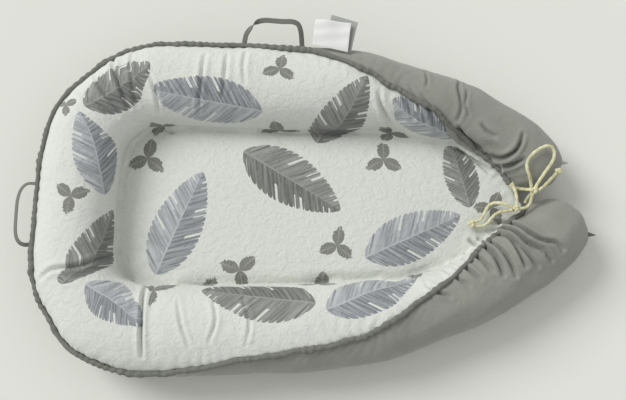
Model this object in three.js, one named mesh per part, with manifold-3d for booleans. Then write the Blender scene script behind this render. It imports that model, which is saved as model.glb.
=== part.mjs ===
// Infant lounger (baby nest): a stuffed bumper roll bent round a padded lying surface, drawn up by a cord.
// Millimetres. +X runs from the head to the foot, +Y to the far long side, +Z up.
// The origin is under the middle of the whole part, on the surface that it lies on.
import * as THREE from 'three';
import Module from 'manifold-3d';
import { mergeVertices } from 'three/addons/utils/BufferGeometryUtils.js';

// The nest as it lies with its cord drawn up
const NEST_LENGTH = 900;
const NEST_WIDTH = 552;
const ROLL_WIDTH = 138;
const ROLL_HEIGHT = 120;
const ROLL_SQUARENESS = 0.92; // power of the section's curve: 1 is an ellipse, less is fuller
const REST_DEPTH = 3.5; // how far the roll is flattened where it lies
const REST_ANGLE = 18; // degrees to each side of straight down that are flat
const CLOTH = 1.1;
const CLEARANCE = 0.4;

// The lying surface between the roll's inner seams
const LYING_HEIGHT = 40;
const UNDERSIDE_HEIGHT = 10;
const SEAM_SPREAD = 1.6; // from the inner stitch line to each sheet's fold
const EDGE_SPREAD = 0.3; // from the cord line to each sheet's edge

// The drawstring and the gathered casing that it runs in
const CORD_DIAMETER = 5.5;
const CASING_WIDTH = 13;
const CASING_WALL = 1.1;
const CORD_PLAY = 0.65;
const GATHER_ROOM = 14; // along the roll, where the casing climbs over it at the foot
const GATHER_LIFT = 1.4; // how far the gathered casing stands off the roll there
const FILLING_PLAY = 0.8; // between the filling and the sheets round it

// The bow at the foot
const KNOT_LENGTH = 17;
const KNOT_WIDTH = 14;
const KNOT_HEIGHT = 13;
const KNOT_RISE = 29; // above the casing's ends
const KNOT_TO_FOOT = 19; // past the line between the casing's ends
const SMALL_KNOT = 13;
const END_KNOT = 12;
const NEAR_END_KNOT = 15;

// Straps, label and seam corners
const STRAP_WIDTH = 11;
const STRAP_THICKNESS = 2.6;
const SIDE_HANDLE_REACH = 38;
const HEAD_HANDLE_REACH = 18;
const HANDLE_TILT = 16; // degrees above level
const SIDE_HANDLE_SEAT = 0.2; // more room between the casing and the ends of each strap
const HEAD_HANDLE_SEAT = 1;
const LABEL_WIDTH = 60;
const LABEL_LENGTH = 36;
const LABEL_THICKNESS = 0.8;
const LABEL_BACK_WIDTH = 46;
const LABEL_BACK_LENGTH = 42;
const LABEL_TILT = 12;
const LABEL_BACK_SHIFT = 15;
const LABEL_BACK_TURN = 8;
const CORNER_LENGTH = 9;
const CORNER_WIDTH = 11;
const CORNER_THICKNESS = 2.4;

// The zip in the underside
const ZIP_LENGTH = 400;
const ZIP_TAPE_WIDTH = 12;
const ZIP_TAPE_THICKNESS = 0.8;
const ZIP_TOOTH_WIDTH = 2.4;
const ZIP_TOOTH_THICKNESS = 1.9;
const ZIP_ROW_GAP = 1.2; // between the two rows of teeth
const ZIP_PLAY = 0.3;
const STOP_LENGTH = 3;
const SLIDER_LENGTH = 11;
const SLIDER_WIDTH = 8;
const SLIDER_PLATE = 1;
const EAR_THICKNESS = 0.9;
const PIN_DIAMETER = 0.9;
const PULL_LENGTH = 22;
const PULL_WIDTH = 5;
const PULL_THICKNESS = 1.2;
const EYE_WALL = 0.75;

// Stations along the roll's middle line, from the far end at the foot round the head to the near end:
// x of half the nest's length, y of half its width, then the roll's width and height there.
const STATION_SHARES = [
  [0.868, 0.166, 0.74, 0.84],
  [0.8, 0.287, 0.73, 0.85],
  [0.733, 0.408, 0.71, 0.87],
  [0.572, 0.577, 0.71, 0.9],
  [0.394, 0.656, 0.81, 0.95],
  [0.301, 0.698, 0.8, 0.94],
  [0.166, 0.737, 0.97, 1],
  [-0.205, 0.752, 1, 1],
  [-0.561, 0.767, 0.965, 1],
  [-0.712, 0.685, 0.92, 1],
  [-0.818, 0.515, 0.97, 1],
  [-0.864, -0.003, 0.91, 0.98],
  [-0.846, -0.444, 0.98, 1],
  [-0.768, -0.613, 1.06, 1],
  [-0.668, -0.685, 1.08, 1],
  [-0.383, -0.708, 1.035, 1],
  [-0.027, -0.698, 1, 1],
  [0.23, -0.656, 0.95, 0.98],
  [0.337, -0.619, 0.815, 0.94],
  [0.508, -0.517, 0.79, 0.92],
  [0.683, -0.36, 0.87, 0.9],
  [0.864, -0.124, 0.895, 0.88],
  [0.962, -0.008, 0.85, 0.86],
];
// At the same stations, in degrees round the section from its outer side over the top:
// where the cord's casing lies on the roll, and where the inner seam is.
const STATION_ANGLES = [
  [172, 184],
  [174, 186],
  [150, 196],
  [122, 208],
  [86, 214],
  [76, 214],
  [48, 214],
  [16, 214],
  [14, 214],
  [14, 214],
  [14, 214],
  [14, 214],
  [14, 214],
  [16, 214],
  [18, 214],
  [20, 214],
  [42, 214],
  [70, 214],
  [90, 214],
  [113, 212],
  [135, 202],
  [176, 188],
  [174, 186],
];
// Degrees between casing and inner seam where they lie side by side: near the climbs, at the casing's ends,
// and the slit that is left on the rounded ends
const SEAM_STRIP_ANGLE = 26;
const EXIT_STRIP_ANGLE = 12;
const CAP_STRIP_ANGLE = 3;
// Between these shares of the run of stations the printed sheet shows on the roll;
// past them the casing climbs to the inner seam
const PRINT_END_SHARES = [0.1568, 0.8918];
// Creases drawn in across the roll: station, depth as a share of the roll's half height
const CREASE_SHARES = [
  [5, 0.06],
  [8.45, 0.1],
  [11.9, 0.08],
  [14.35, 0.07],
  [20.35, 0.1],
  [20.75, 0.1],
];
// More rings, where the outline turns over a long step, at shares of the run of stations
const ROUND_SHARES = [0.2955, 0.4773, 0.5227];
const CLIMB_SHARES = [-1, -0.45, 0, 0.45, 1];
const CREASE_REACH_SHARE = 0.17; // of the step between two stations
const CREASE_MIDDLE = 150; // degrees, where a crease is deepest
const MERGE_SHARE = 0.12; // rings closer than this share of a station's step become one
// Counted in stations from either end of the roll: where its rounding stops, and where the strip beside
// the casing has its full width. The rings that round it off are at shares of the first.
const ROUNDED_STATIONS = 1;
const STRIP_STATIONS = 2;
const CAP_SHARES = [0.03, 0.16, 0.46];
const TOP_STEPS = 7;
const OUTER_STEPS = 5; // on the lower sheet, from the casing to the flat
const INNER_STEPS = 2; // and from the flat to the inner seam
// Rings of the lying surface, from the seam inwards, as shares of the way from its middle;
// the sheet below is level past the last but one
const RING_SHARES = [1, 0.94, 0.87, 0.78, 0.5];
const BASE_RING_SHARES = RING_SHARES.slice(0, -1);
const SLOPE_END_SHARE = 0.8;
const FOOT_SLOPE_END_SHARE = 0.45;
const CENTRE_SHARES = [-0.06, 0.03]; // of half the length and half the width
const TUBE_SIDES = 8;
const BAND_STEPS = 16;
const SLOPE_POWER = 1.6;
// The sheets turn at the inner seam; each turn's outer point lies inwards, and up or down,
// by these shares of the cloth's thickness
const TOP_TURN_SHARES = [1.1, 0.65];
const BASE_TURN_SHARES = [0.15, -0.48];

// The straps and the label are sewn between these shares of the run of stations
const SIDE_HANDLE_SHARES = [0.3273, 0.2995];
const HEAD_HANDLE_SHARES = [0.5209, 0.4873];
const LABEL_SHARES = [0.2968, 0.28];
const CORNER_ROW = 3; // of the lower sheet's rows of points, from the casing down
// A handle's route in its own plane: shares of half its span and of its reach
const HANDLE_ROUTE_SHARES = [[-1, 0], [-0.93, 0.5], [-0.6, 0.9], [0, 1], [0.6, 0.9], [0.93, 0.5], [1, 0]];

// Routes of the bow's cords, from the middle of its knot
const BOW_LOOP = [
  [-3.7, 7.4, 0.3], [-5.6, 14.4, 4.9], [-8.8, 23, 10.5], [-12, 31, 13.5], [-12.8, 39, 15], [-9.5, 48, 17],
  [-2, 56.5, 19.5], [8, 63.5, 21.5], [18, 67.5, 21.5], [26.5, 66.5, 19.5], [31, 60, 17], [30.8, 51.5, 17],
  [27, 43, 18], [21.5, 34.5, 17.5], [15.5, 26, 15], [10.9, 18.9, 10.7], [7, 12.5, 6.2], [4.1, 7.1, 2.4],
];
const FAR_TAIL = [
  [9.5, 1.5, -0.6], [14.5, 4.6, 2.6], [20.5, 10.4, 8], [26.5, 17, 12.2], [33, 23.6, 13.6],
];
const FAR_TAIL_KNOT = [37.3, 28.4, 13.2];
const SMALL_KNOT_PLACE = [-27.6, -27.6, -11];
const LINK = [
  [-2.2, -7.2, -1.9], [-3.5, -14.5, -4.5], [-6, -21.5, -6.6],
  [-11.5, -26.5, -8.8], [-20.2, -28, -10.6],
];
const SHORT_TAIL = [
  [-25.8, -20.9, -10.6], [-25.2, -12, -10.5], [-26.5, -2, -11],
  [-29, 7, -12], [-31.5, 15, -12.6],
];
const UPPER_STRAND = [
  [-34.2, -24.6, -11.5], [-41, -20.5, -15.5], [-49, -17, -21.5], [-57.5, -15.5, -27.5], [-65.5, -18.5, -31.2],
  [-71, -26, -32.4], [-75, -34.5, -32.8], [-80.5, -42, -33], [-88.5, -45.6, -33],
];
const LOWER_STRAND = [
  [-34.4, -30, -12], [-41, -30.5, -16.5], [-49, -31, -23.5], [-56.5, -34, -29.6], [-63, -40.5, -32.4],
  [-69, -47.5, -33.4], [-77.5, -52.6, -33.6], [-88.5, -53, -33.4],
];
const NEAR_END_KNOT_PLACE = [-95.9, -49.3, -32.2];
const CORD_STEP_SHARE = 2; // of the cord's diameter
const CORD_SIDES = 8;
const KNOT_SIDES = 10;
const KNOT_RINGS = 6;
const EYE_SIDES = 12;
const PIN_SIDES = 8;

const colours = {
  print: '#cccdc6',
  grey: '#86877f',
  strap: '#5f5f5a',
  cord: '#d9d6ae',
  tape: '#dcdbd2',
  label: '#e4e5df',
  filling: '#f1f1ee',
  pad: '#ececea',
  corner: '#4a4b48',
  zip: '#8d8e88',
  metal: '#9a9a98',
};

const wasm = await Module();
wasm.setup();

const radians = THREE.MathUtils.degToRad;
const clamp = THREE.MathUtils.clamp;
const up = new THREE.Vector3(0, 0, 1);
const v3 = (x, y, z) => new THREE.Vector3(x, y, z);
const mix = (a, b, share) => a.clone().lerp(b, share);
const halfway = (a, b) => mix(a, b, 0.5);

// Interpolated tables: the roll's middle line, its section and its angles
const middleLine = new THREE.CatmullRomCurve3(
  STATION_SHARES.map(([x, y]) => v3((x * NEST_LENGTH) / 2, (y * NEST_WIDTH) / 2, 0)),
);
const sectionLine = new THREE.CatmullRomCurve3(
  STATION_SHARES.map(([, , width, height]) => v3(width * ROLL_WIDTH, height * ROLL_HEIGHT, 0)),
);
const angleLine = new THREE.CatmullRomCurve3(STATION_ANGLES.map(([casing, seam]) => v3(casing, seam, 0)));
const lastStation = STATION_SHARES.length - 1;
const placeOf = (share) => share * lastStation;
const climb = GATHER_ROOM / (NEST_LENGTH / lastStation); // in stations

// Everything that is known about the roll at a place counted in stations
function stationAt(place) {
  const t = place / lastStation;
  const along = middleLine.getTangent(t);
  const section = sectionLine.getPoint(t);
  const angles = angleLine.getPoint(t);
  const [farPrintEnd, nearPrintEnd] = PRINT_END_SHARES.map(placeOf);
  const { smoothstep } = THREE.MathUtils;
  const onRoll = smoothstep(place, farPrintEnd - climb, farPrintEnd + climb)
    * (1 - smoothstep(place, nearPrintEnd - climb, nearPrintEnd + climb));
  const fromEnd = Math.min(place, lastStation - place);
  const atCap = fromEnd < ROUNDED_STATIONS;
  const widening = clamp((fromEnd - ROUNDED_STATIONS) / (STRIP_STATIONS - ROUNDED_STATIONS), 0, 1);
  const strip = THREE.MathUtils.lerp(EXIT_STRIP_ANGLE, SEAM_STRIP_ANGLE, widening);
  const besideSeam = angles.y - (atCap ? CAP_STRIP_ANGLE : strip);
  return {
    place,
    middle: middleLine.getPoint(t),
    along,
    outward: v3(along.y, -along.x, 0),
    width: section.x,
    height: section.y,
    seam: angles.y,
    casing: THREE.MathUtils.lerp(besideSeam, angles.x, onRoll),
    climbing: 4 * onRoll * (1 - onRoll),
    rounding: atCap ? Math.sqrt(1 - (1 - fromEnd / ROUNDED_STATIONS) ** 2) : 1,
  };
}

function creaseDepth(place, angle) {
  const round = (1 + Math.cos(radians(angle - CREASE_MIDDLE))) / 2;
  let depth = 0;
  for (const [at, share] of CREASE_SHARES) {
    depth += share * round * Math.max(0, 1 - Math.abs(place - at) / CREASE_REACH_SHARE);
  }
  return depth;
}

// A point on the roll's skin, or offset from it; the skin is flat where it lies
function skinPoint(station, angle, offset) {
  const size = station.rounding * (1 - creaseDepth(station.place, angle));
  const cos = Math.cos(radians(angle));
  const sin = Math.sin(radians(angle));
  const sideways = (station.width / 2) * size + offset;
  const upwards = (station.height / 2) * size + offset;
  const fromMiddle = sideways * Math.sign(cos) * Math.abs(cos) ** ROLL_SQUARENESS;
  const rise = upwards * Math.sign(sin) * Math.abs(sin) ** ROLL_SQUARENESS;
  const z = station.height / 2 - REST_DEPTH + rise;
  return station.middle.clone().addScaledVector(station.outward, fromMiddle).setZ(Math.max(z, -offset));
}

function skinNormal(station, angle) {
  return skinPoint(station, angle, CLOTH).sub(skinPoint(station, angle, 0)).normalize();
}

// Places of the rings: even steps, both sides of each crease, and the climbs at the foot
const places = ROUND_SHARES.map(placeOf);
for (let place = ROUNDED_STATIONS; place <= lastStation - ROUNDED_STATIONS; place++) {
  places.push(place);
}
for (const [at] of CREASE_SHARES) {
  places.push(at - CREASE_REACH_SHARE, at, at + CREASE_REACH_SHARE);
}
for (const printEnd of PRINT_END_SHARES.map(placeOf)) {
  places.push(...CLIMB_SHARES.map((share) => printEnd + share * climb));
}
const bodyPlaces = places
  .sort((a, b) => a - b)
  .filter((place, i, all) => i === 0 || place - all[i - 1] > MERGE_SHARE);
const capPlaces = CAP_SHARES.map((share) => share * ROUNDED_STATIONS);
const farCap = capPlaces.map(stationAt);
const nearCap = capPlaces.map((place) => stationAt(lastStation - place)).reverse();
const bodyStations = bodyPlaces.map(stationAt);
const allStations = [...farCap, ...bodyStations, ...nearCap];

// Angles of one ring's points on the upper sheet, from the casing to the inner seam
function topAngles(station) {
  const radius = (station.rounding * station.height) / 2;
  const first = station.casing + THREE.MathUtils.radToDeg(EDGE_SPREAD / radius);
  const last = station.seam - THREE.MathUtils.radToDeg(SEAM_SPREAD / radius);
  return Array.from({ length: TOP_STEPS + 1 }, (_, j) => first + ((last - first) * j) / TOP_STEPS);
}

// Angles on the lower sheet, from the casing down the outer side and under the roll to the inner seam
function baseAngles(station) {
  const radius = (station.rounding * station.height) / 2;
  const first = station.casing - THREE.MathUtils.radToDeg(EDGE_SPREAD / radius);
  const last = station.seam - 360 + THREE.MathUtils.radToDeg(SEAM_SPREAD / radius);
  const [flatStart, flatEnd] = [-90 + REST_ANGLE, -90 - REST_ANGLE];
  const steps = (from, to, count) =>
    Array.from({ length: count + 1 }, (_, j) => from + ((to - from) * j) / count);
  return [...steps(first, flatStart, OUTER_STEPS), ...steps(flatEnd, last, INNER_STEPS)];
}

// Geometry from points and faces of point numbers
function meshOf(points, faces) {
  const geometry = new THREE.BufferGeometry();
  const positions = points.flatMap((p) => [p.x, p.y, p.z]);
  geometry.setAttribute('position', new THREE.Float32BufferAttribute(positions, 3));
  geometry.setIndex(faces.flat());
  return geometry;
}

// A closed sheet from pairs of an outer and an inner point; faces are given for the outer side
function sheetOf(pairs, faces) {
  const count = pairs.length;
  const points = [...pairs.map(([outer]) => outer), ...pairs.map(([, inner]) => inner)];
  const edges = new Set(faces.flatMap(([a, b, c]) => [`${a} ${b}`, `${b} ${c}`, `${c} ${a}`]));
  const all = [...faces, ...faces.map(([a, b, c]) => [c + count, b + count, a + count])];
  for (const edge of edges) {
    const [a, b] = edge.split(' ').map(Number);
    if (!edges.has(`${b} ${a}`)) {
      all.push([b, a, a + count], [b, a + count, b + count]);
    }
  }
  return meshOf(points, all);
}

function skinFaces(rows, size, first) {
  const faces = [];
  for (let i = 0; i + 1 < rows; i++) {
    for (let j = 0; j < size; j++) {
      const a = first + i * size + j;
      const b = first + i * size + ((j + 1) % size);
      faces.push([a, a + size, b + size], [a, b + size, b]);
    }
  }
  return faces;
}

// A closed tube from rings of points, each end closed over its ring's middle
function tubeOf(rings) {
  const size = rings[0].length;
  const points = rings.flat();
  const faces = skinFaces(rings.length, size, 0);
  for (const [ring, atStart] of [[0, true], [rings.length - 1, false]]) {
    const middle = rings[ring].reduce((sum, p) => sum.add(p), v3(0, 0, 0)).divideScalar(size);
    const hub = points.push(middle) - 1;
    for (let j = 0; j < size; j++) {
      const a = ring * size + j;
      const b = ring * size + ((j + 1) % size);
      faces.push(atStart ? [a, b, hub] : [b, a, hub]);
    }
  }
  return meshOf(points, faces);
}

// A tube with a bore that is open at both ends
function hollowTubeOf(rings, boreRings) {
  const size = rings[0].length;
  const count = rings.length * size;
  const bore = skinFaces(rings.length, size, count).map(([a, b, c]) => [c, b, a]);
  const faces = [...skinFaces(rings.length, size, 0), ...bore];
  for (let j = 0; j < size; j++) {
    const [a, b] = [j, (j + 1) % size];
    faces.push([a, b, b + count], [a, b + count, a + count]);
    const [c, d] = [count - size + a, count - size + b];
    faces.push([d, c, c + count], [d, c + count, d + count]);
  }
  return meshOf([...rings.flat(), ...boreRings.flat()], faces);
}

// A cover: rows of point pairs down the roll's skin, whose last pairs are the fold at the inner seam,
// and rings over the lying surface, which start at those folds and are bridged at the foot
function coverOf({ sleeves, capCount, rings, bridge, middle }, facingUp) {
  const pairs = [];
  const add = (pair) => pairs.push(pair) - 1;
  const sleeveNumbers = sleeves.map((row) => row.map(add));
  const ringNumbers = rings.map((row, i) => [sleeveNumbers[i + capCount].at(-1), ...row.map(add)]);
  ringNumbers.push(bridge.map(add));
  const hub = add(middle);
  const faces = [];
  const face = (...corners) => faces.push(facingUp ? corners : corners.reverse());
  const strip = (here, next) => {
    for (let j = 0; j + 1 < here.length; j++) {
      const [a, b, c, d] = [here[j], next[j], next[j + 1], here[j + 1]];
      const [first, second] = facingUp ? [[a, b, c], [a, c, d]] : [[a, b, d], [b, c, d]];
      face(...first);
      face(...second);
    }
  };
  sleeveNumbers.slice(1).forEach((next, i) => strip(sleeveNumbers[i], next));
  ringNumbers.forEach((here, i) => {
    const next = ringNumbers[(i + 1) % ringNumbers.length];
    strip(here, next);
    face(here.at(-1), next.at(-1), hub);
  });
  return sheetOf(pairs, faces);
}

// The lying surface: its height from the seam to the level middle, at a share of the way from its middle
const centre = v3((CENTRE_SHARES[0] * NEST_LENGTH) / 2, (CENTRE_SHARES[1] * NEST_WIDTH) / 2, 0);
const lyingLevel = LYING_HEIGHT - CLOTH / 2;
const undersideLevel = UNDERSIDE_HEIGHT + CLOTH / 2;

function surfaceHeight(seamHeight, level, share) {
  const end = seamHeight > LYING_HEIGHT ? FOOT_SLOPE_END_SHARE : SLOPE_END_SHARE;
  const slope = clamp((share - end) / (1 - end), 0, 1);
  return level + (seamHeight - level) * slope ** SLOPE_POWER;
}

function surfacePoint(fold, level, share) {
  return mix(centre, fold, share).setZ(surfaceHeight(fold.z, level, share));
}

function coverRows(stations, anglesOf, [lean, lift], ringShares, level, facingUp) {
  const halfCloth = up.clone().multiplyScalar(facingUp ? CLOTH / 2 : -CLOTH / 2);
  const pairAt = (point, step) => [point.clone().add(step), point.clone().sub(step)];
  const rowOf = (station) => {
    const angles = anglesOf(station);
    const fold = skinPoint(station, angles.at(-1), -CLOTH / 2);
    const step = station.outward.clone().multiplyScalar(-lean * CLOTH).addScaledVector(up, lift * CLOTH);
    const sleeve = angles
      .slice(0, -1)
      .map((angle) => [skinPoint(station, angle, 0), skinPoint(station, angle, -CLOTH)]);
    const rings = ringShares.slice(1).map((share) => pairAt(surfacePoint(fold, level, share), halfCloth));
    const turn = station.rounding < 1
      ? [skinPoint(station, angles.at(-1), 0), skinPoint(station, angles.at(-1), -CLOTH)]
      : pairAt(fold, step);
    return { sleeve: [...sleeve, turn], rings, fold };
  };
  const rows = stations.map(rowOf);
  const body = rows.filter((_, i) => stations[i].rounding === 1);
  const [first, last] = [body[0], body.at(-1)];
  const bridge = [first.sleeve.at(-1), ...first.rings].map((pair, j) => {
    const across = [last.sleeve.at(-1), ...last.rings][j];
    return pair.map((point, side) => halfway(point, across[side]));
  });
  return {
    sleeves: rows.map((row) => row.sleeve),
    capCount: stations.findIndex((station) => station.rounding === 1),
    rings: body.map((row) => row.rings),
    folds: body.map((row) => row.fold),
    bridge,
    middle: pairAt(centre.clone().setZ(level), halfCloth),
  };
}

const topRows = coverRows(bodyStations, topAngles, TOP_TURN_SHARES, RING_SHARES, lyingLevel, true);
const baseRows = coverRows(
  allStations, baseAngles, BASE_TURN_SHARES, BASE_RING_SHARES, undersideLevel, false,
);

// The filling of the roll, just inside the two sheets
const fillingRings = allStations.map((station) =>
  [...topAngles(station), ...baseAngles(station).reverse()]
    .map((angle) => skinPoint(station, angle, -CLOTH - FILLING_PLAY)),
);

// The pad between the sheets, thin at its edge, crowned above and clear of the zip below
const sliderRise = ZIP_TOOTH_THICKNESS / 2 + ZIP_PLAY + SLIDER_PLATE;
const padUnderside = undersideLevel + sliderRise + CLEARANCE;
function padBody() {
  const outlines = topRows.folds.map((fold, i) => [fold, baseRows.folds[i]]);
  outlines.push(outlines[0].map((fold, side) => halfway(fold, outlines.at(-1)[side])));
  const inset = CLOTH / 2 + CLEARANCE;
  const rows = outlines.map(([top, base]) => {
    const above = RING_SHARES.slice(2).map((share) => {
      const point = surfacePoint(top, lyingLevel, share);
      return point.setZ(point.z - inset);
    });
    const below = RING_SHARES.slice(2).map((share) => {
      const point = surfacePoint(base, undersideLevel, share);
      return point.setZ(Math.max(point.z + inset, padUnderside));
    });
    const [edgeAbove, edgeBelow] = [[top, lyingLevel], [base, undersideLevel]]
      .map(([fold, level]) => surfacePoint(fold, level, RING_SHARES[1]));
    return [...above.reverse(), halfway(edgeAbove, edgeBelow), ...below];
  });
  const size = rows[0].length;
  const points = rows.flat();
  const faces = [];
  const topHub = points.push(centre.clone().setZ(lyingLevel - inset)) - 1;
  const lowHub = points.push(centre.clone().setZ(padUnderside)) - 1;
  rows.forEach((_, i) => {
    const here = i * size;
    const next = ((i + 1) % rows.length) * size;
    faces.push([topHub, here, next], [lowHub, next + size - 1, here + size - 1]);
    for (let j = 0; j + 1 < size; j++) {
      faces.push([next + j + 1, next + j, here + j], [here + j + 1, next + j + 1, here + j]);
    }
  });
  return meshOf(points, faces);
}

// The casing over the seam between the sheets, and the drawstring in it
const boreRadius = (CORD_DIAMETER / 2 + CORD_PLAY);
const casingHeight = 2 * (boreRadius + CASING_WALL);
const casingFace = CLEARANCE + casingHeight;
const casingPoints = bodyStations.map((station) =>
  skinPoint(station, station.casing, CLEARANCE + casingHeight / 2 + GATHER_LIFT * station.climbing),
);

function framesAlong(points, normals) {
  return points.map((middle, i) => {
    const [last, next] = [points[Math.max(i - 1, 0)], points[Math.min(i + 1, points.length - 1)]];
    const along = next.clone().sub(last).normalize();
    const side = along.clone().cross(normals[i]).normalize();
    return { middle, along, side, normal: side.clone().cross(along) };
  });
}

function ringsOf(frames, halfWidth, halfHeight) {
  return frames.map(({ middle, side, normal }) =>
    Array.from({ length: TUBE_SIDES }, (_, j) => {
      const turn = (2 * Math.PI * (j + 0.5)) / TUBE_SIDES;
      return middle.clone()
        .addScaledVector(side, halfWidth * Math.cos(turn))
        .addScaledVector(normal, halfHeight * Math.sin(turn));
    }),
  );
}

const skinNormals = bodyStations.map((station) => skinNormal(station, station.casing));
const casingFrames = framesAlong(casingPoints, skinNormals);

const casing = hollowTubeOf(
  ringsOf(casingFrames, CASING_WIDTH / 2, casingHeight / 2),
  ringsOf(casingFrames, boreRadius, boreRadius),
);

// The knot stands over the foot end, between the two ends of the casing
const farExit = casingPoints[0];
const nearExit = casingPoints.at(-1);
const knotPoint = halfway(farExit, nearExit).add(v3(KNOT_TO_FOOT, 0, KNOT_RISE));
const knotSize = v3(KNOT_LENGTH, KNOT_WIDTH, KNOT_HEIGHT);

// The drawstring runs straight out of the casing for a little, then to the knot
function cordEnd(exit, away) {
  const straight = exit.clone().addScaledVector(away, CORD_DIAMETER);
  const toKnot = knotPoint.clone().sub(straight);
  const knotRadius = toKnot.length() / toKnot.clone().divide(knotSize).multiplyScalar(2).length();
  const reach = (toKnot.length() - knotRadius - CLEARANCE) / toKnot.length();
  return [straight, straight.clone().addScaledVector(toKnot, reach)];
}
const farEnd = cordEnd(farExit, casingFrames[0].along.clone().negate());
const nearEnd = cordEnd(nearExit, casingFrames.at(-1).along);
const drawstringPoints = [...farEnd.reverse(), ...casingPoints, ...nearEnd];
const drawstringNormals = [
  skinNormals[0], skinNormals[0], ...skinNormals, skinNormals.at(-1), skinNormals.at(-1),
];
const drawstring = tubeOf(
  ringsOf(framesAlong(drawstringPoints, drawstringNormals), CORD_DIAMETER / 2, CORD_DIAMETER / 2),
);

// A flat band along a curve in its own plane, as thick as it is extruded
function bandOf(points, width, thickness) {
  const curve = new THREE.CatmullRomCurve3(points);
  const steps = BAND_STEPS;
  const left = [];
  const right = [];
  for (let i = 0; i <= steps; i++) {
    const point = curve.getPoint(i / steps);
    const along = curve.getTangent(i / steps);
    left.push(new THREE.Vector2(point.x - (along.y * width) / 2, point.y + (along.x * width) / 2));
    right.push(new THREE.Vector2(point.x + (along.y * width) / 2, point.y - (along.x * width) / 2));
  }
  const outline = new THREE.Shape([...right, ...left.reverse()]);
  const band = new THREE.ExtrudeGeometry(outline, { depth: thickness, bevelEnabled: false });
  return band.translate(0, 0, -thickness / 2);
}

// A frame on the casing's outer face between two places: x along it, y away from the nest, tilted up.
// It stands off by the casing's bulge at a distance in from those places.
function edgeFrame(fromShare, toShare, tilt, inwards) {
  const [from, to, middle] = [fromShare, toShare, (fromShare + toShare) / 2].map((share) => {
    const station = stationAt(placeOf(share));
    return skinPoint(station, station.casing, casingFace + CLEARANCE);
  });
  const group = new THREE.Group();
  const x = to.clone().sub(from).normalize();
  const y = up.clone().cross(x).normalize();
  const span = from.distanceTo(to);
  const bulge = Math.max(middle.clone().sub(from).dot(y), 0);
  const seat = bulge * (1 - (1 - (2 * inwards) / span) ** 2);
  group.quaternion.setFromRotationMatrix(new THREE.Matrix4().makeBasis(x, y, x.clone().cross(y)));
  group.position.copy(halfway(from, to)).addScaledVector(y, seat);
  group.rotateX(radians(tilt));
  group.userData.span = span;
  return group;
}

function handleOf(name, shares, reach, seat) {
  const frame = edgeFrame(...shares, HANDLE_TILT, STRAP_WIDTH);
  frame.translateY(seat);
  const half = frame.userData.span / 2;
  const route = HANDLE_ROUTE_SHARES.map(([x, y]) => v3(x * (half - STRAP_WIDTH / 2), y * reach, 0));
  frame.add(meshFor(name, bandOf(route, STRAP_WIDTH, STRAP_THICKNESS), colours.strap));
  return frame;
}

function meshFor(name, geometry, color) {
  const material = new THREE.MeshStandardMaterial({ color, roughness: 0.9, metalness: 0 });
  const mesh = new THREE.Mesh(geometry, material);
  mesh.name = name;
  return mesh;
}

// The bow: knots, and cords that run from them
const atKnot = ([x, y, z]) => knotPoint.clone().add(v3(x, y, z));

function knotOf(name, place, size) {
  const geometry = new THREE.SphereGeometry(0.5, KNOT_SIDES, KNOT_RINGS).scale(size.x, size.y, size.z);
  const knot = meshFor(name, geometry, colours.cord);
  knot.position.copy(atKnot(place));
  return knot;
}

function cordOf(name, points) {
  const route = new THREE.CatmullRomCurve3(points.map(atKnot));
  const section = new THREE.Shape(
    Array.from({ length: CORD_SIDES }, (_, i) => {
      const turn = (2 * Math.PI * i) / CORD_SIDES;
      return new THREE.Vector2(Math.cos(turn), Math.sin(turn)).multiplyScalar(CORD_DIAMETER / 2);
    }),
  );
  const steps = Math.ceil(route.getLength() / (CORD_STEP_SHARE * CORD_DIAMETER));
  const cord = new THREE.ExtrudeGeometry(section, { steps, extrudePath: route, bevelEnabled: false });
  return meshFor(name, cord, colours.cord);
}

function bow() {
  const group = new THREE.Group();
  group.add(
    knotOf('bow_knot', [0, 0, 0], knotSize),
    knotOf('bow_knot_small', SMALL_KNOT_PLACE, v3(SMALL_KNOT, SMALL_KNOT, SMALL_KNOT)),
    knotOf('end_knot_far', FAR_TAIL_KNOT, v3(END_KNOT, END_KNOT, END_KNOT)),
    knotOf('end_knot_near', NEAR_END_KNOT_PLACE, v3(NEAR_END_KNOT, NEAR_END_KNOT, END_KNOT)),
    cordOf('bow_loop', BOW_LOOP),
    cordOf('cord_tail_far', FAR_TAIL),
    cordOf('cord_link', LINK),
    cordOf('cord_tail_short', SHORT_TAIL),
    cordOf('cord_strand_upper', UPPER_STRAND),
    cordOf('cord_strand_lower', LOWER_STRAND),
  );
  return group;
}

// The care label: two leaves of tape, sewn in beside the side handle
function careLabel() {
  const frame = edgeFrame(...LABEL_SHARES, LABEL_TILT, 0);
  const leaf = (width, length) => new THREE.BoxGeometry(width, length, LABEL_THICKNESS);
  const front = meshFor('care_label_front', leaf(LABEL_WIDTH, LABEL_LENGTH), colours.label);
  front.position.y = LABEL_LENGTH / 2;
  const back = meshFor('care_label_back', leaf(LABEL_BACK_WIDTH, LABEL_BACK_LENGTH), colours.tape);
  const turn = radians(LABEL_BACK_TURN);
  const corner = (LABEL_BACK_LENGTH / 2) * Math.cos(turn) + (LABEL_BACK_WIDTH / 2) * Math.sin(turn);
  back.position.set(LABEL_BACK_SHIFT, corner, -LABEL_THICKNESS - CLEARANCE);
  back.rotation.z = -turn;
  frame.add(front, back);
  return frame;
}

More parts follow.
